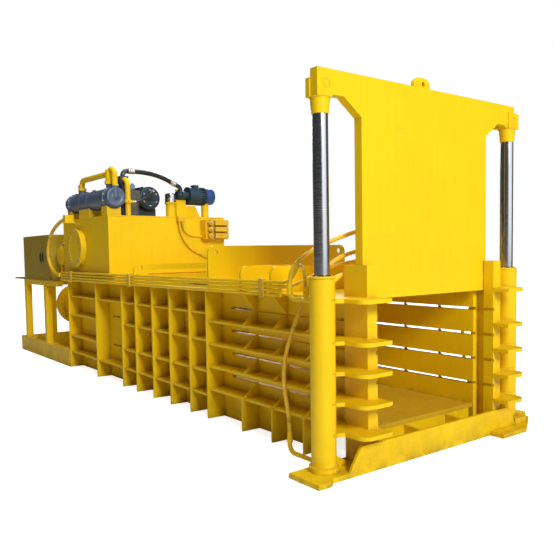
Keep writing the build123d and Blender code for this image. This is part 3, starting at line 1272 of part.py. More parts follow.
HOSES = {
    "hose_lift_upper": (
        mirrored([
            (UPPER_PORT_X, -LIFT_Y, UPPER_PORT_TOP),
            (CROSSING_X - 52, -LIFT_Y + 78, CROSSING_Z - 157),
            (CROSSING_X, -LIFT_Y + 265, CROSSING_Z - 101),
            (CROSSING_X, -LIFT_Y + 560, CROSSING_Z - 16),
        ]), UP, DOWN, 26, LIFT_HOSE_R),
    "hose_lift_lower": (
        mirrored([
            (LOWER_PORT_X, -LIFT_Y, LOWER_PORT_TOP),
            (LOWER_PORT_X - 72, -LIFT_Y, LOWER_PORT_TOP + 270),
            (LOWER_PORT_X - 86, -LIFT_Y + 8, LOWER_PORT_TOP + 470),
            (LOWER_PORT_X + 30, -LIFT_Y + 26, UPPER_PORT_Z - 178),
            (CROSSING_X - 20, -LIFT_Y + 46, UPPER_PORT_Z + 30),
            (CROSSING_X, -LIFT_Y + 122, CROSSING_Z - 258),
            (CROSSING_X - 12, -LIFT_Y + 300, CROSSING_Z - 192),
            (CROSSING_X - 15, -LIFT_Y + 640, CROSSING_Z - 147),
        ]), UP, DOWN, 36, LIFT_HOSE_R),
    "hose_feed_upper": (
        [
            (RUN_X[1], RUN_Y, RUN_Z[3]),
            (RUN_X[1] + 155, RUN_Y - 16, RUN_Z[3] + 52),
            (RUN_X[1] + 275, RUN_Y - 63, RUN_Z[3] + 124),
            (UPPER_TEE_X - 39, -LIFT_Y + 20, UPPER_PORT_Z + 182),
            (UPPER_TEE_X, -LIFT_Y, UPPER_PORT_Z + TEE_H),
        ], FORWARD, DOWN, 11, FEED_HOSE_R),
    "hose_feed_lower": (
        [
            (RUN_X[1], RUN_Y, RUN_Z[2]),
            (RUN_X[1] + 190, RUN_Y + 40, RUN_Z[2] + 50),
            (CROSSING_X - 75, RUN_Y + 170, DECK_TOP + 195),
            (CROSSING_X - 47, RUN_Y + 400, DECK_TOP + 212),
            (CROSSING_X - 42, 0, DECK_TOP + 220),
            (CROSSING_X - 47, -RUN_Y - 330, DECK_TOP + 212),
            (CROSSING_X - 75, -RUN_Y - 130, DECK_TOP + 175),
            (CROSSING_X - 85, -RUN_Y + 20, DECK_TOP + 40),
            (CROSSING_X - 60, -RUN_Y + 45, UPPER_PORT_Z - 350),
            (CROSSING_X - 45, -RUN_Y + 60, LOWER_PORT_Z + 290),
            (LOWER_TEE_X, LIFT_Y, LOWER_PORT_Z + TEE_H),
        ], FORWARD, DOWN, 34, FEED_HOSE_R),
    "hose_suction": (
        [(FILTER_X, FILTER_Y + ELBOW_REACH, SUCTION_Z), SUCTION_END],
        TO_FAR, SUCTION_ARRIVE, 5, SUCTION_R),
    "hose_drain": (
        [
            (MOTOR_PORT_X, MOTOR_Y, MOTOR_PORT_Z),
            (MOTOR_PORT_X + 155, MOTOR_Y - 40, MOTOR_PORT_Z - 17),
            (RETURN_X - 15, DRAIN_Y + 152, RETURN_CLAMP_Z + 63),
            (RETURN_X, DRAIN_Y, RETURN_CLAMP_Z),
        ], FORWARD, TO_NEAR, 9, DRAIN_HOSE_R),
    "hose_rear_main": (
        [
            (RETURN_BLOCK_X[0], RETURN_BLOCK_Y, RETURN_PORT_Z),
            (RETURN_BLOCK_X[0] - 195, RETURN_BLOCK_Y - 7, RETURN_PORT_Z - 24),
            (SHELF_FRONT + 10, RUN_Y - 20, RETURN_PORT_Z - 122),
            (SHELF_FRONT - 125, RUN_Y - 30, RETURN_PORT_Z - 262),
            (SHELF_FRONT - 158, RUN_Y - 30, RETURN_PORT_Z - 407),
            (SHELF_FRONT - 105, RUN_Y - 26, RETURN_PORT_Z - 547),
            (SHELF_FRONT, RUN_Y - 13, RUN_Z[2] + 15),
            (RUN_X[0] - RUN_TAIL, RUN_Y, RUN_Z[2]),
        ], BACKWARD, FORWARD, 14, REAR_HOSE_R),
    "hose_rear_pilot": (
        [
            (PREFILL_X, PILOT_PORT_Y, PREFILL_PORT_Z),
            (PREFILL_X + 24, PILOT_PORT_Y - 19, PREFILL_PORT_Z - 88),
            (PREFILL_X + 92, RUN_Y + 24, RUN_Z[0] + 8),
            (RUN_X[0], RUN_Y, RUN_Z[0]),
        ], DOWN, FORWARD, 8, PILOT_HOSE_R),
    "hose_block_rear": (
        [
            (BLOCK_HOSE_X, BLOCK_HOSE_Y[0], JUNCTION_Z[0]),
            (BLOCK_HOSE_X, BLOCK_HOSE_Y[0] + 45, JUNCTION_Z[0] - 190),
            (BLOCK_HOSE_X, BLOCK_HOSE_Y[0] + 200, JUNCTION_Z[0] - 345),
            (BLOCK_HOSE_X, DECK_PORT_Y - 130, JUNCTION_Z[0] - 385),
            (BLOCK_HOSE_X, DECK_PORT_Y - 30, JUNCTION_Z[0] - 460),
            (BLOCK_HOSE_X, DECK_PORT_Y, DECK_TOP + DECK_PORT_H),
        ], DOWN, DOWN, 14, BLOCK_HOSE_R),
    "hose_block_front": (
        [
            (BLOCK_HOSE_X, BLOCK_HOSE_Y[1], JUNCTION_Z[0]),
            (BLOCK_HOSE_X, BLOCK_HOSE_Y[1] + 30, JUNCTION_Z[0] - 110),
            (BLOCK_HOSE_X, BLOCK_Y[0] - 120, BLOCK_PORT_Z + 2),
            (BLOCK_HOSE_X, BLOCK_Y[0], BLOCK_PORT_Z),
        ], DOWN, TO_FAR, 8, BLOCK_HOSE_R),
}

parts = {
    "side_wall_far": side_wall(),
    "side_wall_near": near_side_wall(),
    "wall_liners": wall_liners(),
    "floor_plate": floor_plate(),
    "underframe": underframe(),
    "roof_plates": roof_plates(),
    "roof_frames": roof_frames(),
    "rear_bulkhead": rear_bulkhead(),
    "rear_wall": rear_wall(),
    "main_barrel": main_barrel(),
    "main_gland": main_gland(),
    "main_rod": main_rod(),
    "platen": platen(),
    "ram_body": ram_body(),
    "ram_wear_strips": wear_strips(),
    "moving_blade": blade((RAM_FACE - BLADE_W, RAM_FACE), RAM_HALF, (RAM_Z[1] - BLADE_T, RAM_Z[1])),
    "fixed_blade": blade((SHEAR_X, SHEAR_X + BLADE_W), LINER_Y, (ROOF_Z - BLADE_T, ROOF_Z)),
    "guide_posts": both_sides(guide_post()),
    "front_plates": group(front_plates() + [near(p) for p in front_plates()]),
    "front_sill": front_sill(),
    "foot_plates": foot_plates(),
    "lift_barrels": group([
        lift_barrel(LOWER_TEE_X, LOWER_PORT_Z),
        near(lift_barrel(UPPER_TEE_X, UPPER_PORT_Z)),
    ]),
    "lift_glands": both_sides(lift_gland()),
    "lift_rods": both_sides(lift_rod()),
    "rod_bosses": both_sides(rod_boss()),
    "gate": gate(),
    "rear_frame": rear_frame(),
    "oil_tank": oil_tank(),
    "tank_lid": tank_lid(),
    "inspection_cover": inspection_cover(),
    "cover_bolts": cover_bolts(),
    "cooler": cooler(),
    "cooler_pipes": cooler_pipes(),
    "return_pipe": return_pipe(),
    "oil_filter": oil_filter(),
    "main_motor": main_motor(),
    "hydraulic_pump": hydraulic_pump(),
    "second_motor": second_motor(),
    "breather": breather(),
    "breather_neck": breather_neck(),
    "motor_brackets": motor_brackets(),
    "valve_block": valve_block(),
    "prefill_valve": prefill_valve(),
    "valve_handle": valve_handle(),
    "cabinet": cabinet(),
    "cabinet_door_rear": cabinet_door((CAB_X[0], DOOR_SPLIT_X - DOOR_GAP / 2)),
    "cabinet_door_front": cabinet_door((DOOR_SPLIT_X + DOOR_GAP / 2, CAB_X[1])),
    "cabinet_stand": cabinet_stand(),
    "side_pipes": side_pipes(),
    "pipe_clamps": pipe_clamps(),
}

for hose_name, (*route, hose_radius) in HOSES.items():
    parts[hose_name] = hose(hose_name, route, hose_radius)

os.makedirs("parts", exist_ok=True)
for node, shape in parts.items():
    export_step(shape, f"parts/{node}.step")
print(len(parts), "nodes")
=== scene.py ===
import json
import logging
import math
from dataclasses import dataclass
from enum import Enum

import bmesh
import bpy
from mathutils import Matrix, Vector


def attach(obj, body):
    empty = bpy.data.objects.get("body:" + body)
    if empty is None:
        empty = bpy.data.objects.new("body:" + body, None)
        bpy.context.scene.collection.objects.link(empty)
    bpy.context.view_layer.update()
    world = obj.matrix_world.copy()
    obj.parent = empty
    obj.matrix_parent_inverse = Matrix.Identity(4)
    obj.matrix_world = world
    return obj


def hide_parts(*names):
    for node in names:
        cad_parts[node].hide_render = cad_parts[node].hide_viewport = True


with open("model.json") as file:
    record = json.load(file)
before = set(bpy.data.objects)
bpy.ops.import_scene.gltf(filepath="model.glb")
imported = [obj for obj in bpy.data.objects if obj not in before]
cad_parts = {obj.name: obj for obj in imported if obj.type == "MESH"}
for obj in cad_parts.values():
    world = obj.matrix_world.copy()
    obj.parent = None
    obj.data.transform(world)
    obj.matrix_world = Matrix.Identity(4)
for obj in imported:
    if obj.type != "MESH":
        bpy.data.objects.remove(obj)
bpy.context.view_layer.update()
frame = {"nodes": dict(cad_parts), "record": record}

LOG = logging.getLogger("baler")
Point = tuple[float, float, float]
Color = tuple[float, float, float]
Profile = tuple[tuple[float, float], ...]
Piece = bpy.types.Object
Material = bpy.types.Material
Socket = bpy.types.NodeSocket
Value = Socket | float
Tint = Socket | Color

# Places that several assemblies share, repeated from the part's source in metres.
SHEAR_X = -1.535
HOUSING_X = -4.598
LIFT_Y = 0.890
TANK_X = (-4.800, -3.487)
COOLER_Y = -0.608
COOLER_Z = 1.868

WHITE = (1.0, 1.0, 1.0)


class Axis(Enum):
    """Direction that a round piece or a bolt points in."""

    X = (1.0, 0.0, 0.0)
    Y = (0.0, 1.0, 0.0)
    Z = (0.0, 0.0, 1.0)
    NEAR = (0.0, -1.0, 0.0)
    REAR = (-1.0, 0.0, 0.0)


class Body(Enum):
    """Names of the bodies that pieces ride on."""

    FRAME = "frame"
    GATE = "gate"
    DOOR_REAR = "door_rear"
    DOOR_FRONT = "door_front"


class Kind(Enum):
    """Type of a socket on the outside of a node group."""

    FLOAT = "NodeSocketFloat"
    INT = "NodeSocketInt"
    COLOR = "NodeSocketColor"
    VECTOR = "NodeSocketVector"
    MATERIAL = "NodeSocketMaterial"
    GEOMETRY = "NodeSocketGeometry"


class Graph:
    """Short way to add and link nodes in a shader or geometry tree."""

    MIX_INPUTS = (0, 6, 7)
    MIX_RESULT = 2

    def __init__(self, tree: bpy.types.NodeTree) -> None:
        """Take the tree that the nodes go into."""
        self.tree = tree

    def link(self, source: Socket, target: Socket) -> None:
        """Link an output to an input."""
        self.tree.links.new(source, target)

    def add(self, kind: str, inputs: dict | None = None, **props) -> bpy.types.Node:
        """Add a node, set its properties and fill or link its inputs.

        Args:
            kind: Node type.
            inputs: Input name or index, with a value or an output socket.
            **props: Properties of the node.

        Returns:
            The new node.
        """
        node = self.tree.nodes.new(kind)
        for key, value in props.items():
            setattr(node, key, value)
        for key, value in (inputs or {}).items():
            if isinstance(value, Socket):
                self.link(value, node.inputs[key])
            else:
                node.inputs[key].default_value = value
        return node

    def math(self, operation: str, first: Value, second: Value = 0.0, clamp: bool = False) -> Socket:
        """Add a math node.

        Args:
            operation: Its operation.
            first: First value or socket.
            second: Second value or socket.
            clamp: Whether the result stays between 0 and 1.

        Returns:
            The result's socket.
        """
        node = self.add("ShaderNodeMath", {0: first, 1: second}, operation=operation, use_clamp=clamp)
        return node.outputs[0]

    def times(self, first: Value, second: Value, clamp: bool = False) -> Socket:
        """Multiply two values."""
        return self.math("MULTIPLY", first, second, clamp)

    def plus(self, first: Value, second: Value, clamp: bool = False) -> Socket:
        """Add two values."""
        return self.math("ADD", first, second, clamp)

    def vector(self, operation: str, first: Socket, second: Socket | Point = (0.0, 0.0, 0.0)) -> Socket:
        """Add a vector math node.

        Args:
            operation: Its operation.
            first: First vector's socket.
            second: Second vector or socket.

        Returns:
            The result's socket, which is a number for a dot product or a length.
        """
        node = self.add("ShaderNodeVectorMath", {0: first, 1: second}, operation=operation)
        return node.outputs["Value" if operation in ("DOT_PRODUCT", "LENGTH") else "Vector"]

    def span(self, value: Socket, low: float, high: float, to_low: float = 0.0,
             to_high: float = 1.0) -> Socket:
        """Map one range to another, with clamping.

        Args:
            value: Socket to map.
            low: Start of the range.
            high: End of the range.
            to_low: Value at the start.
            to_high: Value at the end.

        Returns:
            The mapped socket.
        """
        inputs = {"Value": value, "From Min": low, "From Max": high, "To Min": to_low, "To Max": to_high}
        return self.add("ShaderNodeMapRange", inputs).outputs[0]

    def blend(self, factor: Value, first: Tint, second: Tint, mode: str = "MIX") -> Socket:
        """Mix two colours.

        Args:
            factor: How much of the second one.
            first: First colour or socket.
            second: Second colour or socket.
            mode: Blend type.

        Returns:
            The colour's socket.
        """
        values = [(*v, 1.0) if isinstance(v, tuple) else v for v in (factor, first, second)]
        inputs = dict(zip(self.MIX_INPUTS, values))
        return self.add("ShaderNodeMix", inputs, data_type="RGBA", blend_type=mode).outputs[self.MIX_RESULT]

    def place(self) -> Socket:
        """Coordinates of the piece itself, which move with it."""
        return self.add("ShaderNodeTexCoord").outputs["Object"]

    def noise(self, place: Socket, scale: Value, detail: float = 2.0, roughness: float = 0.5) -> Socket:
        """Add a noise texture and return its value's socket."""
        inputs = {"Vector": place, "Scale": scale, "Detail": detail, "Roughness": roughness}
        return self.add("ShaderNodeTexNoise", inputs).outputs[0]

    def effect(self, tree: bpy.types.NodeTree, values: dict | None = None) -> bpy.types.Node:
        """Put a shared group into the material with its own input values."""
        return self.add("ShaderNodeGroup", values, node_tree=tree)


class GroupGraph(Graph):
    """A node group with named inputs and outputs."""

    def __init__(self, name: str, inputs: tuple, outputs: tuple, tree_type: str = "ShaderNodeTree") -> None:
        """Start the group.

        Args:
            name: Name of the group.
            inputs: Name, kind and value of each input.
            outputs: Name and kind of each output.
            tree_type: Type of its tree.
        """
        super().__init__(bpy.data.node_groups.new(name, tree_type))
        for label, kind, value in inputs:
            socket = self.tree.interface.new_socket(name=label, in_out="INPUT", socket_type=kind.value)
            if value is not None:
                socket.default_value = value
        for label, kind in outputs:
            self.tree.interface.new_socket(name=label, in_out="OUTPUT", socket_type=kind.value)
        self.inputs = {socket.name: socket for socket in self.add("NodeGroupInput").outputs}
        self.results = self.add("NodeGroupOutput").inputs

    def give(self, **results: Socket) -> bpy.types.NodeTree:
        """Link results to the group's outputs and return its tree."""
        for label, socket in results.items():
            self.link(socket, self.results[label])
        return self.tree


class EffectLibrary:
    """Shader node groups that several materials share."""

    COAT_SHADE = (0.80, 0.74, 0.62)
    RUN_STRETCH = (14.0, 14.0, 0.7)
    SCRATCHES = ((0.35, (3.0, 90.0, 34.0)), (1.30, (70.0, 5.0, 42.0)))
    SADDLE_CLEAR_R = 0.1135

    def __init__(self) -> None:
        """Build every group once."""
        self.tone = self._tone()
        self.grain = self._grain()
        self.edges = self._edges()
        self.shade_and_grime = self._shade_and_grime()
        self.scuffs = self._scuffs()
        self.brushed = self._brushed()
        self.saddles = self._saddles()

    def _tone(self) -> bpy.types.NodeTree:
        """Uneven tone of a sprayed coat: wide clouds and faint runs down the plates.

        Returns:
            The group's tree.
        """
        inputs = (
            ("Color", Kind.COLOR, (*WHITE, 1.0)), ("Amount", Kind.FLOAT, 0.1), ("Scale", Kind.FLOAT, 1.4))
        g = GroupGraph("UnevenCoat", inputs, (("Color", Kind.COLOR), ("Variation", Kind.FLOAT)))
        color = g.inputs["Color"]
        place = g.place()
        clouds = g.noise(place, g.inputs["Scale"], detail=4.0, roughness=0.6)
        stretched = g.add("ShaderNodeMapping", {"Vector": place, "Scale": self.RUN_STRETCH})
        runs = g.noise(stretched.outputs[0], 2.2, detail=3.0)
        variation = g.span(g.plus(g.times(clouds, 0.65), g.times(runs, 0.35)), 0.32, 0.68)
        darker = g.blend(1.0, color, self.COAT_SHADE, "MULTIPLY")
        share = g.times(variation, g.times(g.inputs["Amount"], 4.0), clamp=True)
        return g.give(Color=g.blend(share, color, darker), Variation=variation)

    def _grain(self) -> bpy.types.NodeTree:
        """Fine surface height: the orange peel of paint or the skin of a casting.

        Returns:
            The group's tree.
        """
        inputs = (("Scale", Kind.FLOAT, 300.0), ("Coarse", Kind.FLOAT, 0.3))
        g = GroupGraph("FineGrain", inputs, (("Height", Kind.FLOAT),))
        place = g.place()
        fine = g.noise(place, g.inputs["Scale"])
        wide = g.noise(place, g.times(g.inputs["Scale"], 0.12))
        return g.give(Height=g.plus(fine, g.times(wide, g.times(g.inputs["Coarse"], 4.0))))

    def _edges(self) -> bpy.types.NodeTree:
        """Worn edges: where a rounded normal leaves the flat one, broken up by noise.

        Returns:
            The group's tree.
        """
        inputs = (("Radius", Kind.FLOAT, 0.004), ("Amount", Kind.FLOAT, 0.5))
        g = GroupGraph("WornEdges", inputs, (("Mask", Kind.FLOAT), ("Normal", Kind.VECTOR)))
        rounded = g.add("ShaderNodeBevel", {"Radius": g.inputs["Radius"]}, samples=4).outputs[0]
        flat = g.add("ShaderNodeNewGeometry").outputs["Normal"]
        edge = g.span(g.vector("DOT_PRODUCT", rounded, flat), 0.995, 0.80)
        breaks = g.noise(g.place(), 26.0, detail=5.0, roughness=0.7)
        limit = g.math("SUBTRACT", 0.80, g.times(g.inputs["Amount"], 0.35))
        mask = g.times(edge, g.math("GREATER_THAN", breaks, limit), clamp=True)
        return g.give(Mask=mask, Normal=rounded)

    def _shade_and_grime(self) -> bpy.types.NodeTree:
        """Painted shade in corners and recesses, from ambient occlusion, and darkening towards the bottom,
        broken into patches.

        Returns:
            The group's tree.
        """
        inputs = (("Distance", Kind.FLOAT, 0.06), ("Amount", Kind.FLOAT, 0.5))
        g = GroupGraph("CornerShadeAndGrime", inputs, (("Mask", Kind.FLOAT),))
        # Ambient occlusion darkens corners and recesses here as painted shade.
        near = g.add("ShaderNodeAmbientOcclusion", {"Distance": g.inputs["Distance"]}, samples=4)
        corner = g.span(near.outputs["AO"], 0.85, 0.30)
        place = g.place()
        patches = g.span(g.noise(place, 9.0, detail=5.0, roughness=0.65), 0.38, 0.62)
        height = g.add("ShaderNodeSeparateXYZ", {0: place}).outputs["Z"]
        # Darker towards the bottom of the piece.
        low = g.span(height, 0.30, 0.0, 0.0, 0.45)
        mask = g.times(g.plus(g.times(corner, 0.8), low), patches)
        return g.give(Mask=g.times(mask, g.inputs["Amount"], clamp=True))

    def _scuffs(self) -> bpy.types.NodeTree:
        """Long thin scratches in two directions.

        Returns:
            The group's tree.
        """
        inputs = (("Scale", Kind.FLOAT, 1.0), ("Amount", Kind.FLOAT, 0.4))
        g = GroupGraph("Scuffs", inputs, (("Mask", Kind.FLOAT),))
        place = g.place()
        found = []
        for turn, stretch in self.SCRATCHES:
            view = {"Vector": place, "Rotation": (turn, turn, turn), "Scale": stretch}
            scale = {0: g.add("ShaderNodeMapping", view).outputs[0], "Scale": g.inputs["Scale"]}
            sized = g.add("ShaderNodeVectorMath", scale, operation="SCALE").outputs[0]
            found.append(g.span(g.noise(sized, 1.0), 0.70, 0.74))
        zones = g.span(g.noise(place, 2.6, detail=3.0), 0.48, 0.60)
        mask = g.times(g.math("MAXIMUM", *found), zones)
        return g.give(Mask=g.times(mask, g.inputs["Amount"], clamp=True))

    def _brushed(self) -> bpy.types.NodeTree:
        """Lines of a ground or turned metal face.

        Returns:
            The group's tree.
        """
        inputs = (("Stretch", Kind.VECTOR, (4.0, 4.0, 400.0)),)
        g = GroupGraph("BrushedLines", inputs, (("Value", Kind.FLOAT),))
        scaled = g.vector("MULTIPLY", g.place(), g.inputs["Stretch"])
        return g.give(Value=g.noise(scaled, 1.0, detail=3.0))

    def _saddles(self) -> bpy.types.NodeTree:
        """Zone of the cooler's saddles: outside its shell and below its axis.

        Returns:
            The group's tree.
        """
        g = GroupGraph("SaddleZone", (), (("Mask", Kind.FLOAT),))
        parts = g.add("ShaderNodeSeparateXYZ", {0: g.place()}).outputs
        across = g.math("SUBTRACT", parts["Y"], COOLER_Y)
        rise = g.math("SUBTRACT", parts["Z"], COOLER_Z)
        square = g.plus(g.times(across, across), g.times(rise, rise))
        outside = g.math("GREATER_THAN", square, self.SADDLE_CLEAR_R ** 2)
        return g.give(Mask=g.times(outside, g.math("LESS_THAN", rise, 0.0)))


def new_material(name: str, color: Color) -> tuple[Material, Graph, bpy.types.NodeInputs]:
    """Start a material.

    Args:
        name: Its name.
        color: Linear colour that stands for it in plain views.

    Returns:
        The material, its graph and the inputs of its shader.
    """
    material = bpy.data.materials.new(name)
    material.use_nodes = True
    material.diffuse_color = (*color, 1.0)
    return material, Graph(material.node_tree), material.node_tree.nodes["Principled BSDF"].inputs


@dataclass(frozen=True)
class Finish:
    """A surface finish that becomes one procedural material.

    Args:
        name: Material name.
        color: Linear base colour.
        roughness: Its roughness.
        metallic: 1 for bare metal.
        tone: How uneven its tone is.
        grain: Scale of the fine grain.
        bump: Depth of the grain in metres.
        coat: Strength of the clear coat.
        edge: How worn its edges are.
        edge_radius: Radius of the softened edge in metres.
        under: Colour that shows where it is worn.
        shade_and_grime: How strongly painted shade darkens its corners and recesses, and how much darker its
            lower part gets.
        shade_and_dirt: Colour of that painted shade and of the darker lower part.
        scuff: How scratched it is.
        stretch: Direction of the brushed lines, if it has any.
        gloss: Strength of the plain reflection.
        saddles: Colour of the saddles under the cooler's shell, if it is the cooler's finish.
    """

    COAT_ROUGHNESS = 0.12
    TONE_ROUGHNESS = 0.10
    GRIME_ROUGHNESS = 0.35
    LINE_ROUGHNESS = 0.07
    LINE_DEPTH = 1.5
    WORN_DEPTH = 0.8
    BUMP_STRENGTH = 0.7

    name: str
    color: Color
    roughness: float = 0.4
    metallic: float = 0.0
    tone: float = 0.10
    grain: float = 260.0
    bump: float = 0.0002
    coat: float = 0.0
    edge: float = 0.3
    edge_radius: float = 0.003
    under: Color = (0.30, 0.29, 0.27)
    # Painted shade in corners and recesses and a darker lower part: how strong, and in what colour.
    shade_and_grime: float = 0.35
    shade_and_dirt: Color = (0.10, 0.075, 0.045)
    scuff: float = 0.25
    stretch: Point | None = None
    gloss: float = 0.4
    saddles: Color | None = None

    def build(self, effects: EffectLibrary) -> Material:
        """Make the material.

        Args:
            effects: The shared node groups.

        Returns:
            The material.
        """
        material, g, shader = new_material(self.name, self.color)
        shader["Metallic"].default_value = self.metallic
        shader["Coat Weight"].default_value = self.coat
        shader["Coat Roughness"].default_value = self.COAT_ROUGHNESS
        shader["Specular IOR Level"].default_value = self.gloss
        tone = g.effect(effects.tone, {"Color": (*self.color, 1.0), "Amount": self.tone}).outputs
        edges = g.effect(effects.edges, {"Radius": self.edge_radius, "Amount": self.edge}).outputs
        # Painted shade: corners and recesses darkened by ambient occlusion, and the lower part darkened.
        shade_and_grime = g.effect(effects.shade_and_grime, {"Amount": self.shade_and_grime}).outputs["Mask"]
        scuffs = g.effect(effects.scuffs, {"Amount": self.scuff}).outputs["Mask"]
        worn = g.math("MAXIMUM", g.times(edges["Mask"], self.edge), scuffs, clamp=True)
        base = tone["Color"]
        if self.saddles is not None:
            base = g.blend(g.effect(effects.saddles).outputs["Mask"], base, self.saddles)
        # Blend the painted corner shade and the darker lower part over the worn coat.
        color = g.blend(shade_and_grime, g.blend(worn, base, self.under), self.shade_and_dirt)
        rough = g.plus(self.roughness, g.times(tone["Variation"], self.TONE_ROUGHNESS))
        rough = g.plus(rough, g.times(shade_and_grime, self.GRIME_ROUGHNESS), clamp=True)
        height = g.effect(effects.grain, {"Scale": self.grain}).outputs["Height"]
        if self.stretch is not None:
            lines = g.effect(effects.brushed, {"Stretch": self.stretch}).outputs["Value"]
            change = g.span(lines, 0.3, 0.7, -self.LINE_ROUGHNESS, self.LINE_ROUGHNESS)
            rough = g.plus(rough, change, clamp=True)
            height = g.plus(height, g.times(lines, self.LINE_DEPTH))
        height = g.math("SUBTRACT", height, g.times(worn, self.WORN_DEPTH))
        surface = {"Height": height, "Normal": edges["Normal"], "Strength": self.BUMP_STRENGTH,
                   "Distance": self.bump}
        g.link(color, shader["Base Color"])
        g.link(rough, shader["Roughness"])
        g.link(g.add("ShaderNodeBump", surface).outputs[0], shader["Normal"])
        return material


YELLOW = (0.88, 0.595, 0.006)
# The corner darkening amounts and colours below paint shade into corners and recesses and darken the lower
# parts.
FINISHES = (
    Finish("yellow_paint", YELLOW, roughness=0.38, coat=0.05, tone=0.12, edge=0.26, edge_radius=0.004,
           shade_and_grime=0.6, scuff=0.18, under=(0.34, 0.20, 0.06), shade_and_dirt=(0.16, 0.085, 0.02), bump=0.00016,
           gloss=0.18),
    Finish("cabinet_paint", (0.40, 0.285, 0.014), roughness=0.42, tone=0.12, shade_and_grime=0.5, scuff=0.2,
           bump=0.0003, grain=420.0),
    Finish("bare_steel", (0.50, 0.50, 0.51), roughness=0.34, metallic=1.0, tone=0.16, bump=0.00008,
           stretch=(30.0, 300.0, 30.0)),
    Finish("worn_steel", (0.36, 0.30, 0.20), roughness=0.5, metallic=0.8, tone=0.25, shade_and_grime=0.6, scuff=0.6,
           stretch=(5.0, 220.0, 60.0)),
    Finish("tool_steel", (0.40, 0.40, 0.41), roughness=0.28, metallic=1.0, tone=0.12,
           stretch=(5.0, 300.0, 300.0)),
    Finish("chrome_rod", (0.52, 0.54, 0.58), roughness=0.14, metallic=1.0, tone=0.05, edge=0.05, shade_and_grime=0.12,
           scuff=0.06, bump=0.00003, stretch=(8.0, 8.0, 500.0)),
    Finish("wear_plastic", (0.72, 0.69, 0.58), roughness=0.6, tone=0.12, scuff=0.5, under=(0.35, 0.33, 0.27)),
    Finish("dark_paint", (0.016, 0.028, 0.060), roughness=0.34, coat=0.2, tone=0.12,
           under=(0.20, 0.21, 0.23)),
    Finish("cooler_paint", (0.085, 0.125, 0.220), roughness=0.38, coat=0.1, tone=0.14,
           under=(0.30, 0.32, 0.34), shade_and_grime=0.4, saddles=YELLOW),
    Finish("motor_paint", (0.010, 0.034, 0.060), roughness=0.42, tone=0.14, bump=0.0005, grain=180.0,
           under=(0.14, 0.15, 0.16)),
    Finish("pump_paint", (0.10, 0.105, 0.105), roughness=0.58, tone=0.2, bump=0.0008, grain=140.0, shade_and_grime=0.5),
    Finish("valve_paint", (0.030, 0.032, 0.036), tone=0.12, under=(0.25, 0.25, 0.25)),
    Finish("black_plastic", (0.012, 0.012, 0.013), roughness=0.52, bump=0.0003, under=(0.06, 0.06, 0.06)),
    Finish("blue_cap", (0.020, 0.060, 0.230), roughness=0.38, under=(0.12, 0.14, 0.2)),
    Finish("pale_blue", (0.16, 0.30, 0.42), roughness=0.35, tone=0.08, under=(0.3, 0.32, 0.34)),
    Finish("weld_paint", (0.84, 0.52, 0.008), roughness=0.34, tone=0.14, edge=0.1, edge_radius=0.001,
           shade_and_grime=0.5, scuff=0.05),
    Finish("zinc_bolt", (0.55, 0.55, 0.52), roughness=0.36, metallic=1.0, tone=0.12, edge_radius=0.001,
           bump=0.00005),
    Finish("painted_bolt", (0.80, 0.50, 0.010), tone=0.12, edge=0.5, edge_radius=0.001),
    Finish("floor_paint", (0.66, 0.44, 0.012), roughness=0.46, tone=0.28, edge=0.5, shade_and_grime=0.6, scuff=0.7,
           under=(0.36, 0.29, 0.14), shade_and_dirt=(0.16, 0.11, 0.04)),
    Finish("sprayed_clamp", (0.80, 0.50, 0.010), roughness=0.46, tone=0.2, edge=0.5, under=(0.08, 0.06, 0.03),
           shade_and_grime=0.5, bump=0.0003),
    Finish("rubber_seal", (0.010, 0.010, 0.010), roughness=0.7, shade_and_grime=0.2, under=(0.05, 0.05, 0.05)),
)


@dataclass(frozen=True)
class HoseFinish:
    """Rubber cover of a hose, with its wrapped pattern, plain or oversprayed.

    Args:
        name: Material name.
        color: Linear base colour.
        roughness: Its roughness.
        spray: How often the overspray missed the rubber.
    """

    RUBBER = (0.035, 0.028, 0.015)
    # Colour of the painted shade where the hose meets other parts, and of its darker lower part.
    SHADE_AND_DIRT = (0.09, 0.07, 0.045)
    GRIME_ROUGHNESS = 0.3
    WRAP_SCALE = 110.0
    WRAP_DEPTH = 0.0008

    name: str
    color: Color
    roughness: float
    spray: float

    def build(self, effects: EffectLibrary) -> Material:
        """Make the material.

        Args:
            effects: The shared node groups.

        Returns:
            The material.
        """
        material, g, shader = new_material(self.name, self.color)
        coat = {"Color": (*self.color, 1.0), "Amount": 0.16, "Scale": 5.0}
        tone = g.effect(effects.tone, coat).outputs["Color"]
        # Painted shade where the hose meets other parts, from ambient occlusion, and darker towards the
        # bottom.
        shade_and_grime = g.effect(effects.shade_and_grime, {"Amount": 0.35, "Distance": 0.03}).outputs["Mask"]
        place = g.place()
        patches = g.span(g.noise(place, 13.0, detail=4.0), 0.56, 0.66)
        missed = g.times(patches, self.spray, clamp=True)
        color = g.blend(shade_and_grime, g.blend(missed, tone, self.RUBBER), self.SHADE_AND_DIRT)
        pattern = {"Vector": place, "Scale": self.WRAP_SCALE, "Distortion": 1.2, "Detail": 1.0}
        wrap = g.add("ShaderNodeTexWave", pattern, bands_direction="DIAGONAL").outputs["Fac"]
        grain = g.effect(effects.grain, {"Scale": 500.0}).outputs["Height"]
        surface = {"Strength": 0.6, "Distance": self.WRAP_DEPTH, "Height": g.plus(wrap, g.times(grain, 0.5))}
        g.link(color, shader["Base Color"])
        g.link(g.plus(self.roughness, g.times(shade_and_grime, self.GRIME_ROUGHNESS), clamp=True), shader["Roughness"])
        g.link(g.add("ShaderNodeBump", surface).outputs[0], shader["Normal"])
        return material


HOSE_FINISHES = (
    HoseFinish("hose_rubber", (0.012, 0.013, 0.016), 0.46, 0.0),
    HoseFinish("yellow_hose", (0.78, 0.50, 0.012), 0.44, 0.35),
)


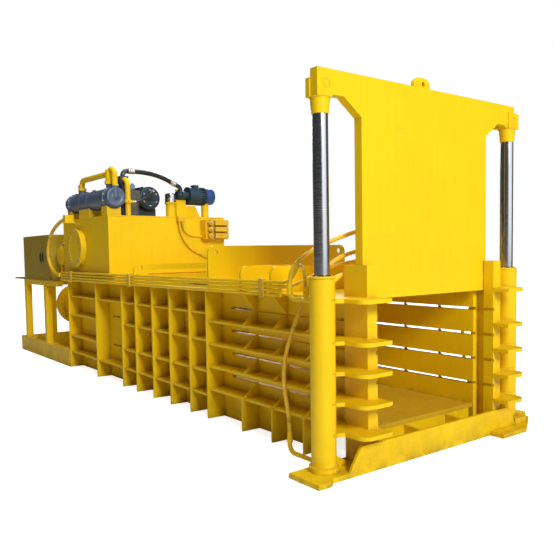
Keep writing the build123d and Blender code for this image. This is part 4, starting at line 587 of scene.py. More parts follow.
class Palette:
    """All materials by name."""

    SPRAYED_OVER = {
        "cabinet": "cabinet_paint",
        "cabinet_door_rear": "cabinet_paint",
        "cabinet_door_front": "cabinet_paint",
        "floor_plate": "floor_paint",
        "pipe_clamps": "sprayed_clamp",
        "valve_block": "sprayed_clamp",
        "prefill_valve": "yellow_paint",
        "main_barrel": "yellow_paint",
        "lift_glands": "yellow_paint",
    }

    def __init__(self) -> None:
        """Build every material."""
        effects = EffectLibrary()
        self.materials = {finish.name: finish.build(effects) for finish in FINISHES + HOSE_FINISHES}

    def __getitem__(self, name: str) -> Material:
        """Return a material by name."""
        return self.materials[name]

    def dress_nodes(self) -> int:
        """Give every CAD node the material of its slot, or the paint that covers it in the photograph.

        Returns:
            How many nodes were dressed.
        """
        slots = {part["node"]: part["material_slot"] for part in frame["record"]["subparts"]}
        for name, node in frame["nodes"].items():
            material = self[self.SPRAYED_OVER.get(name, slots[name])]
            if not node.material_slots:
                node.data.materials.append(material)
            for slot in node.material_slots:
                slot.material = material
        return len(frame["nodes"])


def to_object(name: str, mesh: bpy.types.Mesh, body: Body, material: Material | None = None) -> Piece:
    """Put a mesh into the scene as a piece that rides on a body.

    Args:
        name: Name of the piece.
        mesh: Its mesh, in the shared frame.
        body: Body that it rides on.
        material: Its material, if the mesh has none yet.

    Returns:
        The new object.
    """
    if material is not None:
        mesh.materials.append(material)
    piece = bpy.data.objects.new(name, mesh)
    bpy.context.scene.collection.objects.link(piece)
    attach(piece, body.value)
    return piece


def frame_along(axis: Vector) -> Matrix:
    """A turn that takes the Z axis to the given one."""
    return Vector((0, 0, 1)).rotation_difference(axis.normalized()).to_matrix().to_4x4()


def ring_points(centre: Point, axis: Axis, radius: float, count: int, start: float = 0.0) -> list[Point]:
    """Points round a circle.

    Args:
        centre: Centre of the circle.
        axis: Its axis.
        radius: Its radius.
        count: How many points.
        start: Angle of the first one.

    Returns:
        The points.
    """
    turn = frame_along(Vector(axis.value))
    angles = [start + 2 * math.pi * i / count for i in range(count)]
    spots = [turn @ Vector((radius * math.cos(angle), radius * math.sin(angle), 0.0)) for angle in angles]
    return [tuple(Vector(centre) + spot) for spot in spots]


class Shaper:
    """Collects turned, boxed and prismatic forms in one mesh."""

    ON_AXIS = 1e-6
    FACETED_UP_TO = 8

    def __init__(self) -> None:
        """Start with an empty mesh."""
        self.bm = bmesh.new()

    def lathe(self, base: Point, axis: Axis | Vector, profile: Profile, segments: int = 32) -> None:
        """Turn a profile round an axis.

        Args:
            base: Point that the profile's heights start from.
            axis: Direction of the axis.
            profile: Radius and height of each corner, from the bottom up.
            segments: Number of segments round the axis.
        """
        direction = Vector(axis.value) if isinstance(axis, Axis) else axis
        place = Matrix.Translation(base) @ frame_along(direction)
        turns = [2 * math.pi * i / segments for i in range(segments)]
        rings = []
        for radius, height in profile:
            spots = [(radius * math.cos(turn), radius * math.sin(turn), height) for turn in turns]
            if radius < self.ON_AXIS:
                spots = [(0, 0, height)]
            rings.append([self.bm.verts.new(place @ Vector(spot)) for spot in spots])
        for low, high in zip(rings, rings[1:]):
            for i in range(segments):
                j = (i + 1) % segments
                corners = [low[i % len(low)], low[j % len(low)], high[j % len(high)], high[i % len(high)]]
                unique = list(dict.fromkeys(corners))
                if len(unique) > 2:
                    face = self.bm.faces.new(unique)
                    face.smooth = segments > self.FACETED_UP_TO
        for ring, flip in ((rings[0], True), (rings[-1], False)):
            if len(ring) > 2:
                self.bm.faces.new(list(reversed(ring)) if flip else ring)

    def box(self, low: Point, high: Point, bevel: float) -> None:
        """Add a box with softened edges.

        Args:
            low: Lowest corner.
            high: Highest corner.
            bevel: Width of the softened edges.
        """
        made = bmesh.ops.create_cube(self.bm, size=1.0)["verts"]
        size = Vector(high) - Vector(low)
        middle = (Vector(high) + Vector(low)) / 2
        for vert in made:
            vert.co = vert.co * size + middle
        edges = list({edge for vert in made for edge in vert.link_edges})
        bmesh.ops.bevel(self.bm, geom=edges, offset=bevel, segments=2, affect="EDGES", profile=0.7)

    def spoke(self, centre: Point, plane: tuple[Axis, Axis], turn: float, reach: tuple[float, float],
              half: float, away: Vector) -> None:
        """Add a flat bar that points away from a centre.

        Args:
            centre: The centre.
            plane: The two axes of the plane that the bar lies in.
            turn: Angle of the bar from the first axis.
            reach: Distances of its ends from the centre.
            half: Half of its width.
            away: Vector of its thickness.
        """
        first, second = (Vector(axis.value) for axis in plane)
        along = math.cos(turn) * first + math.sin(turn) * second
        across = half * (math.cos(turn) * second - math.sin(turn) * first)
        start, end = (Vector(centre) + distance * along for distance in reach)
        low = [self.bm.verts.new(p) for p in (start - across, end - across, end + across, start + across)]
        high = [self.bm.verts.new(vert.co + away) for vert in low]
        faces = [self.bm.faces.new(list(reversed(low))), self.bm.faces.new(high)]
        for i in range(len(low)):
            j = (i + 1) % len(low)
            faces.append(self.bm.faces.new([low[i], low[j], high[j], high[i]]))

    def finish(self, name: str, material: Material, body: Body = Body.FRAME) -> Piece:
        """Turn the collected forms into a piece.

        Args:
            name: Name of the piece.
            material: Its material.
            body: Body that it rides on.

        Returns:
            The new object.
        """
        bmesh.ops.recalc_face_normals(self.bm, faces=self.bm.faces[:])
        mesh = bpy.data.meshes.new(name)
        self.bm.to_mesh(mesh)
        self.bm.free()
        return to_object(name, mesh, body, material)


class GeometryTool(GroupGraph):
    """A geometry node tree with named inputs that repeats a form over a base mesh."""

    def __init__(self, name: str, inputs: tuple) -> None:
        """Start the tree.

        Args:
            name: Name of the tree.
            inputs: Name, kind and value of each input but the geometry and the material.
        """
        ends = ("Geometry", Kind.GEOMETRY)
        inputs = ((*ends, None), *inputs, ("Material", Kind.MATERIAL, None))
        super().__init__(name, inputs, (ends,), "GeometryNodeTree")

    def copies(self, points: Socket, form: Socket, **inputs: Socket) -> Socket:
        """Set copies of a form on points and return their socket."""
        values = {"Points": points, "Instance": form, **inputs}
        return self.add("GeometryNodeInstanceOnPoints", values).outputs[0]

    def moved(self, form: Socket, **inputs) -> Socket:
        """Move, turn or stretch a form and return its socket."""
        return self.add("GeometryNodeTransform", {"Geometry": form, **inputs}).outputs[0]

    def close(self, instances: Socket) -> None:
        """End the tree with Realize Instances and Set Material.

        Args:
            instances: The copies that it has made.
        """
        real = self.add("GeometryNodeRealizeInstances", {"Geometry": instances}).outputs[0]
        dress = {"Geometry": real, "Material": self.inputs["Material"]}
        self.give(Geometry=self.add("GeometryNodeSetMaterial", dress).outputs[0])

    def apply(self, name: str, points: list[Point], edges: list[tuple[int, int]], values: dict,
              body: Body = Body.FRAME) -> Piece:
        """Run the tree over points or lines and keep the result as a plain mesh.

        Args:
            name: Name of the piece.
            points: Points that the tree works on.
            edges: Pairs of points that lines join.
            values: Input values by name.
            body: Body that the piece rides on.

        Returns:
            The piece.
        """
        base = bpy.data.meshes.new(name + "_base")
        base.from_pydata(points, edges, [])
        carrier = bpy.data.objects.new(name + "_carrier", base)
        bpy.context.scene.collection.objects.link(carrier)
        modifier = carrier.modifiers.new("Repeat", "NODES")
        modifier.node_group = self.tree
        sockets = [item for item in self.tree.interface.items_tree if item.in_out == "INPUT"]
        keys = {socket.name: socket.identifier for socket in sockets}
        for label, value in values.items():
            modifier[keys[label]] = value
        graph = bpy.context.evaluated_depsgraph_get()
        mesh = bpy.data.meshes.new_from_object(carrier.evaluated_get(graph))
        mesh.name = name
        carrier.modifiers.remove(modifier)
        bpy.data.objects.remove(carrier)
        return to_object(name, mesh, body)


class BoltTool(GeometryTool):
    """Hexagon bolts with washers on points, each turned at random about its axis.

    The proportions are shares of the head's corner radius.
    """

    SEED = 7
    HEAD_H = 0.7
    WASHER = (1.25, 0.18)
    STUD = (0.5, 0.35)
    HEAD_MID = 0.44
    STUD_MID = 0.9
    SIXTH_TURN = 1.05

    def __init__(self) -> None:
        """Build the tree."""
        super().__init__("BoltField", (
            ("Axis", Kind.VECTOR, Axis.Z.value), ("Size", Kind.FLOAT, 0.01), ("Seed", Kind.INT, self.SEED)))
        washer = self._disc(18, *self.WASHER)
        raised = self._lifted(self._disc(6, 1.0, self.HEAD_H), self.HEAD_MID)
        tip = self._lifted(self._disc(12, *self.STUD), self.STUD_MID)
        whole = self.add("GeometryNodeJoinGeometry")
        for form in (raised, washer, tip):
            self.link(form, whole.inputs[0])
        limits = {"Max": self.SIXTH_TURN, "Seed": self.inputs["Seed"]}
        spin = {"Axis": Axis.Z.value, "Angle": self.add("FunctionNodeRandomValue", limits).outputs[1]}
        turned = self.add("FunctionNodeAxisAngleToRotation", spin).outputs[0]
        aim = {"Rotation": turned, "Vector": self.inputs["Axis"]}
        aimed = self.add("FunctionNodeAlignRotationToVector", aim, axis="Z").outputs[0]
        self.close(self.copies(self.inputs["Geometry"], whole.outputs[0], Rotation=aimed))

    def _disc(self, corners: int, radius: float, depth: float) -> Socket:
        """Add a prism that keeps its proportions to the bolt's size.

        Args:
            corners: Number of its corners.
            radius: Its radius, as a share of the size.
            depth: Its depth, as a share of the size.

        Returns:
            The prism's socket.
        """
        size = self.inputs["Size"]
        shape = {"Vertices": corners, "Radius": self.times(size, radius), "Depth": self.times(size, depth)}
        return self.add("GeometryNodeMeshCylinder", shape).outputs[0]

    def _lifted(self, form: Socket, rise: float) -> Socket:
        """A form raised by a share of the bolt's size."""
        lift = self.add("ShaderNodeCombineXYZ", {"Z": self.times(self.inputs["Size"], rise)}).outputs[0]
        return self.moved(form, Translation=lift)

    def row(self, name: str, points: list[Point], axis: Axis, size: float, material: Material) -> Piece:
        """Set bolts on points of the frame.

        Args:
            name: Name of the piece.
            points: Where the bolts sit.
            axis: Direction that they point in.
            size: Corner radius of a bolt head.
            material: Their material.

        Returns:
            The piece.
        """
        values = {"Axis": axis.value, "Size": size, "Seed": self.SEED, "Material": material}
        return self.apply(name, points, [], values)


class WeldTool(GeometryTool):
    """Rippled weld beads along lines."""

    SEED = 3
    RIPPLE_STRETCH = (1.0, 1.0, 1.7)
    SMALLEST = (0.8, 0.8, 0.9)
    LARGEST = (1.15, 1.15, 1.2)

    def __init__(self) -> None:
        """Build the tree."""
        super().__init__("WeldBead", (
            ("Radius", Kind.FLOAT, 0.004), ("Pitch", Kind.FLOAT, 0.011), ("Seed", Kind.INT, self.SEED)))
        curve = self.add("GeometryNodeMeshToCurve", {"Mesh": self.inputs["Geometry"]}).outputs[0]
        steps = {"Curve": curve, "Length": self.inputs["Pitch"]}
        points = self.add("GeometryNodeCurveToPoints", steps, mode="LENGTH").outputs
        ball = {"Radius": self.inputs["Radius"], "Subdivisions": 1}
        ripple = self.moved(self.add("GeometryNodeMeshIcoSphere", ball).outputs[0], Scale=self.RIPPLE_STRETCH)
        limits = {"Min": self.SMALLEST, "Max": self.LARGEST, "Seed": self.inputs["Seed"]}
        vary = self.add("FunctionNodeRandomValue", limits, data_type="FLOAT_VECTOR").outputs[0]
        self.close(self.copies(points[0], ripple, Rotation=points["Rotation"], Scale=vary))

    def run(self, name: str, lines: list[list[Point]], material: Material, radius: float, pitch: float,
            body: Body = Body.FRAME) -> Piece:
        """Lay beads along lines.

        Args:
            name: Name of the piece.
            lines: Points of each line.
            material: Their material.
            radius: Radius of a bead.
            pitch: Distance from ripple to ripple.
            body: Body that the beads ride on.

        Returns:
            The piece.
        """
        points = []
        edges = []
        for line in lines:
            start = len(points)
            points += line
            edges += [(start + i, start + i + 1) for i in range(len(line) - 1)]
        values = {"Radius": radius, "Pitch": pitch, "Seed": self.SEED, "Material": material}
        return self.apply(name, points, edges, values, body)


class FinTool(GeometryTool):
    """Cooling fins round a motor that lies along Y."""

    FIN_T = 0.004

    def __init__(self) -> None:
        """Build the tree."""
        super().__init__("CoolingFins", (
            ("Count", Kind.INT, 24), ("Radius", Kind.FLOAT, 0.09), ("Length", Kind.FLOAT, 0.1),
            ("Rise", Kind.FLOAT, 0.014)))
        circle = {"Vertices": self.inputs["Count"], "Radius": self.inputs["Radius"]}
        ring = self.add("GeometryNodeMeshCircle", circle).outputs[0]
        sides = {"X": self.inputs["Rise"], "Y": self.FIN_T, "Z": self.inputs["Length"]}
        size = self.add("ShaderNodeCombineXYZ", sides).outputs[0]
        fin = self.add("GeometryNodeMeshCube", {"Size": size}).outputs[0]
        outward = {"Vector": self.add("GeometryNodeInputPosition").outputs[0]}
        aimed = self.add("FunctionNodeAlignRotationToVector", outward, axis="X").outputs[0]
        tipped = self.moved(self.copies(ring, fin, Rotation=aimed), Rotation=(math.pi / 2, 0.0, 0.0))
        self.close(self.copies(self.inputs["Geometry"], tipped))

    def round(self, name: str, middle: Point, values: dict) -> Piece:
        """Set fins round a motor's middle, with input values by name."""
        return self.apply(name, [middle], [], values)


class Kit:
    """The materials and the tools that every assembly uses."""

    def __init__(self) -> None:
        """Build the palette and the tools."""
        self.palette = Palette()
        self.bolts = BoltTool()
        self.welds = WeldTool()
        self.fins = FinTool()


@dataclass
class Assembly:
    """A group of pieces that are built together.

    Args:
        kit: The materials and the tools.
    """

    kit: Kit

    def build(self) -> list[Piece]:
        """Build the pieces."""
        raise NotImplementedError

    def keep(self, name: str, shaper: Shaper, finish: str, body: Body = Body.FRAME) -> Piece:
        """Turn collected forms into a piece with a finish of the palette."""
        return shaper.finish(name, self.kit.palette[finish], body)

    def bolted(self, name: str, points: list[Point], axis: Axis, size: float,
               finish: str = "zinc_bolt") -> Piece:
        """Set bolts on points, with a finish of the palette."""
        return self.kit.bolts.row(name, points, axis, size, self.kit.palette[finish])


def mirrored(lines: list[list[Point]]) -> list[list[Point]]:
    """The same lines on the other side of the machine."""
    return [[(x, -y, z) for x, y, z in line] for line in lines]


def closed_ring(centre: Point, axis: Axis, radius: float, count: int) -> list[Point]:
    """Points round a circle that end where they start."""
    ring = ring_points(centre, axis, radius, count)
    return ring + ring[:1]


@dataclass
class Welds(Assembly):
    """Weld seams of the side walls, the deck, the front plates, the tank and the gate.

    Args:
        off: How far the middle of a bead stands off its plates.
        wall_out: Outer face of a side wall.
        rib_out: Outer edge of a lengthwise rib.
        deck: Top of the walls.
        seam_end: How far a seam stops short of a plate's end.
        rib_t: Thickness of ribs and uprights.
        upright_x: Uprights of the wall, from the shear edge to the housing.
        column_x: Short columns of the press section.
        press_ribs: Heights of the ribs in the press section.
        rear_ribs: Heights of the ribs behind it.
        plain_bay: Number of the bay that has only the lowest and the highest rib.
        press_end: Front end of the press section's ribs.
        gusset: Lowest and highest point of a gusset's seam above its rib.
        gusset_y: How far the gusset's lower seam keeps from the wall and from the rib's edge.
        plate_half: Half the thickness of a front plate.
        post: Inner, outer, front and rear face of a guide post.
        foot_front: Front end of the seam at the post's foot.
        sill_top: Height of the post's foot.
        foot_top: Top of the lift cylinder's foot plate.
        barrel_r: Radius of a lift barrel.
        plate_gap: How far the seam on a front plate stands off the barrel.
        arc_end: How far that seam stops short of the barrel's middle.
        tank_half: Half the width of the oil tank.
        tank_z: Bottom and top of the oil tank.
        tank_foot: How far the tank's lower seam lies above its bottom.
        cover: X, height and radius of the inspection cover's seam.
        cover_off: How far that seam stands off the tank.
        cross_bottom: Lower edge of the gate's crosshead.
        cross_corner: X, inner end, outer end and height of the crosshead's corner seam.
        boss_drop: How far the rod boss's seam lies below the crosshead.
        boss_r: Radius of that seam.
        eye: Half thickness, two ends and height of the lifting eye's seams.
        pin_seams: Centres of the seams round the rods' pins.
        pin_r: Radius of those seams.
    """

    off: float = 0.001
    wall_out: float = 0.590
    rib_out: float = 0.738
    deck: float = 1.000
    seam_end: float = 0.01
    rib_t: float = 0.016
    upright_x: tuple[float, ...] = (SHEAR_X, -1.803, -2.141, -2.465, -2.812, -3.122, -3.775, HOUSING_X)
    column_x: tuple[float, ...] = (-1.060, -0.703, -0.368)
    press_ribs: tuple[float, ...] = (0.232, 0.408, 0.584, 0.760)
    rear_ribs: tuple[float, ...] = (0.178, 0.365, 0.608, 0.820)
    plain_bay: int = 5
    press_end: float = -0.1
    gusset: tuple[float, float] = (0.012, 0.10)
    gusset_y: tuple[float, float] = (0.01, 0.03)
    plate_half: float = 0.012
    post: tuple[float, float, float, float] = (0.569, 0.648, 0.115, -0.07)
    foot_front: float = 0.09
    sill_top: float = 0.030
    foot_top: float = 0.060
    barrel_r: float = 0.073
    plate_gap: float = 0.002
    arc_end: float = 0.004
    tank_half: float = 0.690
    tank_z: tuple[float, float] = (1.080, 1.675)
    tank_foot: float = 0.002
    cover: tuple[float, float, float] = (-4.293, 1.365, 0.197)
    cover_off: float = 0.002
    cross_bottom: float = 2.138
    cross_corner: tuple[float, float, float, float] = (-0.031, 0.79, 0.941, 2.244)
    boss_drop: float = 0.004
    boss_r: float = 0.058
    eye: tuple[float, float, float, float] = (0.0125, -0.12, 0.026, 2.295)
    pin_seams: tuple[Point, ...] = ((0.0305, -0.866, 2.215), (0.0425, 0.910, 2.190))
    pin_r: float = 0.024

    def build(self) -> list[Piece]:
        """Lay every seam.

        Returns:
            The pieces.
        """
        wall = self.wall()
        front = self.front()
        return [
            self.seams("wall_welds_near", mirrored(wall), 0.004, 0.012),
            self.seams("wall_welds_far", wall, 0.005, 0.018),
            self.seams("front_welds", front + mirrored(front), 0.0045, 0.009),
            self.seams("tank_welds", self.tank(), 0.0035, 0.011),
            self.seams("gate_welds", self.gate(), 0.0045, 0.009, Body.GATE),
        ]

    def seams(self, name: str, lines: list[list[Point]], radius: float, pitch: float,
              body: Body = Body.FRAME) -> Piece:
        """Lay painted beads along lines."""
        return self.kit.welds.run(name, lines, self.kit.palette["weld_paint"], radius, pitch, body)

    def wall(self) -> list[list[Point]]:
        """Seams of the far wall.

        Returns:
            The seams as lines.
        """
        y = self.wall_out + self.off
        half = self.rib_t / 2 + self.off
        low, high = self.gusset
        start, stop = self.wall_out + self.gusset_y[0], self.rib_out - self.gusset_y[1]
        lines = []
        for x in self.upright_x:
            for side in (-half, half):
                lines.append([(x + side, y, self.seam_end), (x + side, y, self.deck - self.seam_end)])
        for x in self.column_x:
            for z in self.press_ribs:
                lines.append([(x + half, y, z + low), (x + half, y, z + high)])
                lines.append([(x + half, start, z + half), (x + half, stop, z + half)])
        for z in self.press_ribs:
            lines.append([(SHEAR_X + half, y, z + half), (self.press_end, y, z + half)])
        for index, (front, rear) in enumerate(zip(self.upright_x, self.upright_x[1:])):
            levels = self.rear_ribs
            if index == self.plain_bay:
                levels = (levels[0], levels[-1])
            lines += [[(front - half, y, z + half), (rear + half, y, z + half)] for z in levels]
        return lines

    def front(self) -> list[list[Point]]:
        """Seams round the far post and the far lift barrel.

        Returns:
            The seams as lines.
        """
        inner, outer, front, rear = self.post
        front += self.off
        lines = []
        for z in (*self.press_ribs, self.deck):
            top = z + self.plate_half + self.off
            ring = ring_points((0.0, LIFT_Y, top), Axis.Z, self.barrel_r + self.plate_gap, 40)
            lines.append(sorted(p for p in ring if p[1] < LIFT_Y - self.arc_end))
            lines.append([(front, inner, top), (front, outer, top), (rear, outer + self.off, top)])
        foot = self.sill_top + self.off
        lines.append([(self.foot_front, outer + self.off, foot), (rear, outer + self.off, foot)])
        lines.append([(front, inner + self.off, foot), (front, outer, foot)])
        base = (0.0, LIFT_Y, self.foot_top + self.off)
        lines.append(closed_ring(base, Axis.Z, self.barrel_r + self.off, 48))
        return lines

    def tank(self) -> list[list[Point]]:
        """Seams of the oil tank and its inspection cover.

        Returns:
            The seams as lines.
        """
        low, high = TANK_X
        y = self.tank_half
        bottom, top = self.tank_z
        lines = []
        for x in TANK_X:
            for side in (-y, y):
                lines.append([(x, side, bottom), (x, side, top)])
        for z in (bottom + self.tank_foot, top):
            lines.append([(low, -y, z), (high, -y, z), (high, y, z), (low, y, z), (low, -y, z)])
        x, z, radius = self.cover
        lines.append(closed_ring((x, -y - self.cover_off, z), Axis.Y, radius, 72))
        return lines

    def gate(self) -> list[list[Point]]:
        """Seams that move with the gate.

        Returns:
            The seams as lines.
        """
        x, inner, outer, height = self.cross_corner
        half, start, end, top = self.eye
        lines = []
        for side in (-1, 1):
            boss = (0.0, side * LIFT_Y, self.cross_bottom - self.boss_drop)
            lines.append(closed_ring(boss, Axis.Z, self.boss_r, 40))
            corner = (x, side * inner, height)
            lines.append([(x, side * inner, self.cross_bottom), corner, (x, side * outer, height)])
        lines += [[(side, start, top), (side, end, top)] for side in (-half, half)]
        lines += [closed_ring(centre, Axis.X, self.pin_r, 28) for centre in self.pin_seams]
        return lines


@dataclass(frozen=True)
class HosePath:
    """A hose's route: the same places, directions and number of runs as its CAD tube.

    Args:
        node: CAD node that the hose stands for.
        anchors: Places that it passes, in metres.
        leave: Direction in which it leaves its first fitting.
        arrive: Direction in which it meets its last one.
        runs: Number of runs.
        radius: Radius of the hose.
        length: Real length along its middle; not used.
        finish: Name of its material.
        sleeve: Name of the material of its end sleeves.
    """

    CURVE_STEPS = 16
    SMOOTHINGS = 6

    node: str
    anchors: tuple[Point, ...]
    leave: Point
    arrive: Point
    runs: int
    radius: float
    length: float
    finish: str = "yellow_hose"
    sleeve: str = "yellow_paint"

    def corners(self) -> list[Vector]:
        """Corners of the route, which are the control points of the spline.

        Returns:
            The corners in order.
        """
        line = self._straight_ends(self._even(self._curve()))
        for _ in range(self.SMOOTHINGS):
            for i in range(2, self.runs - 1):
                line[i] = (4 * line[i - 1] + 4 * line[i + 1] - line[i - 2] - line[i + 2]) / 6
            line = self._straight_ends(self._even(line))
        return line

    def _curve(self) -> list[Vector]:
        """Follow a smooth curve through the anchors.

        Returns:
            Close points on the curve.
        """
        places = [Vector(p) for p in self.anchors]
        spans = [(b - a).length for a, b in zip(places, places[1:])]
        middle = [(b - a) / 2 for a, b in zip(places, places[2:])]
        slopes = [Vector(self.leave) * spans[0], *middle, Vector(self.arrive) * spans[-1]]
        found = []
        for i in range(len(spans)):
            for step in range(self.CURVE_STEPS):
                t = step / self.CURVE_STEPS
                found.append((2 * t**3 - 3 * t**2 + 1) * places[i] + (t**3 - 2 * t**2 + t) * slopes[i]
                             + (3 * t**2 - 2 * t**3) * places[i + 1] + (t**3 - t**2) * slopes[i + 1])
        return [*found, places[-1]]

    def _even(self, dense: list[Vector]) -> tuple[list[Vector], float]:
        """Divide a line into runs of one length.

        Args:
            dense: Close points on the line.

        Returns:
            The corners between the runs, and the length of a run.
        """
        step = sum((b - a).length for a, b in zip(dense, dense[1:])) / self.runs
        line = [dense[0]]
        done = 0.0
        for a, b in zip(dense, dense[1:]):
            length = (b - a).length
            while len(line) < self.runs and done + length >= step * len(line):
                line.append(a.lerp(b, (step * len(line) - done) / length))
            done += length
        return [*line, dense[-1]], step

    def _straight_ends(self, even: tuple[list[Vector], float]) -> list[Vector]:
        """Turn the first and the last run into line with the fittings.

        Args:
            even: The corners between the runs, and the length of a run.

        Returns:
            The corners.
        """
        line, step = even
        line[1] = line[0] + Vector(self.leave) * step
        line[-2] = line[-1] - Vector(self.arrive) * step
        return line


UP, DOWN = (0.0, 0.0, 1.0), (0.0, 0.0, -1.0)
FORWARD, BACKWARD = (1.0, 0.0, 0.0), (-1.0, 0.0, 0.0)
TO_FAR, TO_NEAR = (0.0, 1.0, 0.0), (0.0, -1.0, 0.0)
DOWN_TO_FAR = (0.0, 0.90618, -0.42288)


def crossing(*half_way: Point) -> tuple[Point, ...]:
    """Anchors of a hose that crosses over to the same places on the far side."""
    return half_way + tuple((x, -y, z) for x, y, z in reversed(half_way))


HOSES = (
    HosePath("hose_lift_upper", crossing(
        (-0.295, -0.890, 1.060), (-0.205, -0.812, 1.290), (-0.153, -0.625, 1.346), (-0.153, -0.330, 1.431)),
        UP, DOWN, 26, 0.013, 2.204),
    HosePath("hose_lift_lower", crossing(
        (-0.315, -0.890, 0.150), (-0.387, -0.890, 0.420), (-0.401, -0.882, 0.620), (-0.285, -0.864, 0.825),
        (-0.173, -0.844, 1.033), (-0.153, -0.768, 1.189), (-0.165, -0.590, 1.255), (-0.168, -0.250, 1.300)),
        UP, DOWN, 36, 0.013, 3.746),
    HosePath("hose_feed_upper", (
        (-0.560, -0.752, 1.088), (-0.405, -0.768, 1.140), (-0.285, -0.815, 1.212), (-0.185, -0.870, 1.185),
        (-0.146, -0.890, 1.047)),
        FORWARD, DOWN, 11, 0.010, 0.570),
    HosePath("hose_feed_lower", (
        (-0.560, -0.752, 1.060), (-0.370, -0.712, 1.110), (-0.228, -0.582, 1.207), (-0.200, -0.352, 1.224),
        (-0.195, 0.0, 1.232), (-0.200, 0.422, 1.224), (-0.228, 0.622, 1.187), (-0.238, 0.772, 1.052),
        (-0.213, 0.797, 0.653), (-0.198, 0.812, 0.352), (-0.200, 0.890, 0.106)),
        FORWARD, DOWN, 34, 0.010, 2.790),
    HosePath("hose_suction", ((-3.640, -0.390, 2.158), (-3.705, 0.206, 2.050)),
             TO_FAR, DOWN_TO_FAR, 5, 0.024, 0.618, "hose_rubber", "bare_steel"),
    HosePath("hose_drain", (
        (-3.755, -0.070, 1.965), (-3.600, -0.110, 1.948), (-3.540, -0.245, 1.893), (-3.525, -0.397, 1.830)),
        FORWARD, TO_NEAR, 9, 0.012, 0.488, "hose_rubber", "bare_steel"),
    HosePath("hose_rear_main", (
        (-4.525, -0.745, 1.692), (-4.720, -0.752, 1.668), (-4.950, -0.772, 1.570), (-5.085, -0.782, 1.430),
        (-5.118, -0.782, 1.285), (-5.065, -0.778, 1.145), (-4.960, -0.765, 1.075), (-4.800, -0.752, 1.060)),
        BACKWARD, FORWARD, 14, 0.020, 1.214),
    HosePath("hose_rear_pilot", (
        (-4.960, -0.6715, 1.160), (-4.936, -0.6905, 1.072), (-4.868, -0.728, 1.012), (-4.740, -0.752, 1.004)),
        DOWN, FORWARD, 8, 0.009, 0.327),
    HosePath("hose_block_rear", (
        (-3.462, 0.108, 1.630), (-3.462, 0.153, 1.440), (-3.462, 0.308, 1.285), (-3.462, 0.430, 1.245),
        (-3.462, 0.530, 1.170), (-3.462, 0.560, 1.057)),
        DOWN, DOWN, 14, 0.009, 0.788),
    HosePath("hose_block_front", (
        (-3.462, 0.145, 1.630), (-3.462, 0.175, 1.520), (-3.462, 0.265, 1.472), (-3.462, 0.385, 1.470)),
        DOWN, TO_FAR, 8, 0.009, 0.335),
)


@dataclass
class HoseSet(Assembly):
    """The flexible hoses, as smooth splines with swaged sleeves at both ends.

    Args:
        mouth: First corners of a sleeve's profile, as shares of the hose's radius.
        groove: Corners of one swaged groove.
        first_groove: Where the first groove lies.
        groove_pitch: Distance from groove to groove.
        grooves: Number of grooves.
        tail: Last corners of the profile.
        sides: Number of segments round a sleeve.
    """

    mouth: Profile = ((0.9, 0.0), (1.12, 0.0), (1.22, 0.5))
    groove: Profile = ((1.22, 0.0), (1.14, 0.14), (1.14, 0.28), (1.22, 0.42))
    first_groove: float = 1.0
    groove_pitch: float = 0.55
    grooves: int = 3
    tail: Profile = ((1.22, 2.9), (1.10, 3.05), (0.9, 3.05))
    sides: int = 20

    def build(self) -> list[Piece]:
        """Lay every hose.

        Returns:
            The curves.
        """
        return [self.lay(path) for path in HOSES]

    def lay(self, path: HosePath) -> Piece:
        """Lay one hose.

        Args:
            path: Its route.

        Returns:
            The curve.
        """
        corners = path.corners()
        data = bpy.data.curves.new(path.node + "_line", "CURVE")
        data.dimensions = "3D"
        data.bevel_depth = path.radius
        data.bevel_resolution = 5
        data.resolution_u = 8
        spline = data.splines.new("NURBS")
        spline.points.add(len(corners) - 1)
        for point, corner in zip(spline.points, corners):
            point.co = (*corner, 1.0)
        spline.order_u = 3
        spline.use_endpoint_u = True
        data.materials.append(self.kit.palette[path.finish])
        curve = bpy.data.objects.new(path.node + "_soft", data)
        bpy.context.scene.collection.objects.link(curve)
        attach(curve, Body.FRAME.value)
        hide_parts(path.node)
        sleeves = self.sleeves(path, corners)
        return curve

    def sleeves(self, path: HosePath, corners: list[Vector]) -> Piece:
        """Build the swaged sleeves at both ends of a hose.

        Args:
            path: Its route.
            corners: The route's corners.

        Returns:
            The piece.
        """
        starts = [self.first_groove + self.groove_pitch * i for i in range(self.grooves)]
        grooves = [(wide, start + at) for start in starts for wide, at in self.groove]
        profile = [(path.radius * wide, path.radius * at) for wide, at in (*self.mouth, *grooves, *self.tail)]
        shaper = Shaper()
        for end, inner in ((corners[0], corners[1]), (corners[-1], corners[-2])):
            shaper.lathe(end, (inner - end).normalized(), profile, self.sides)
        return self.keep(path.node + "_sleeves", shaper, path.sleeve)


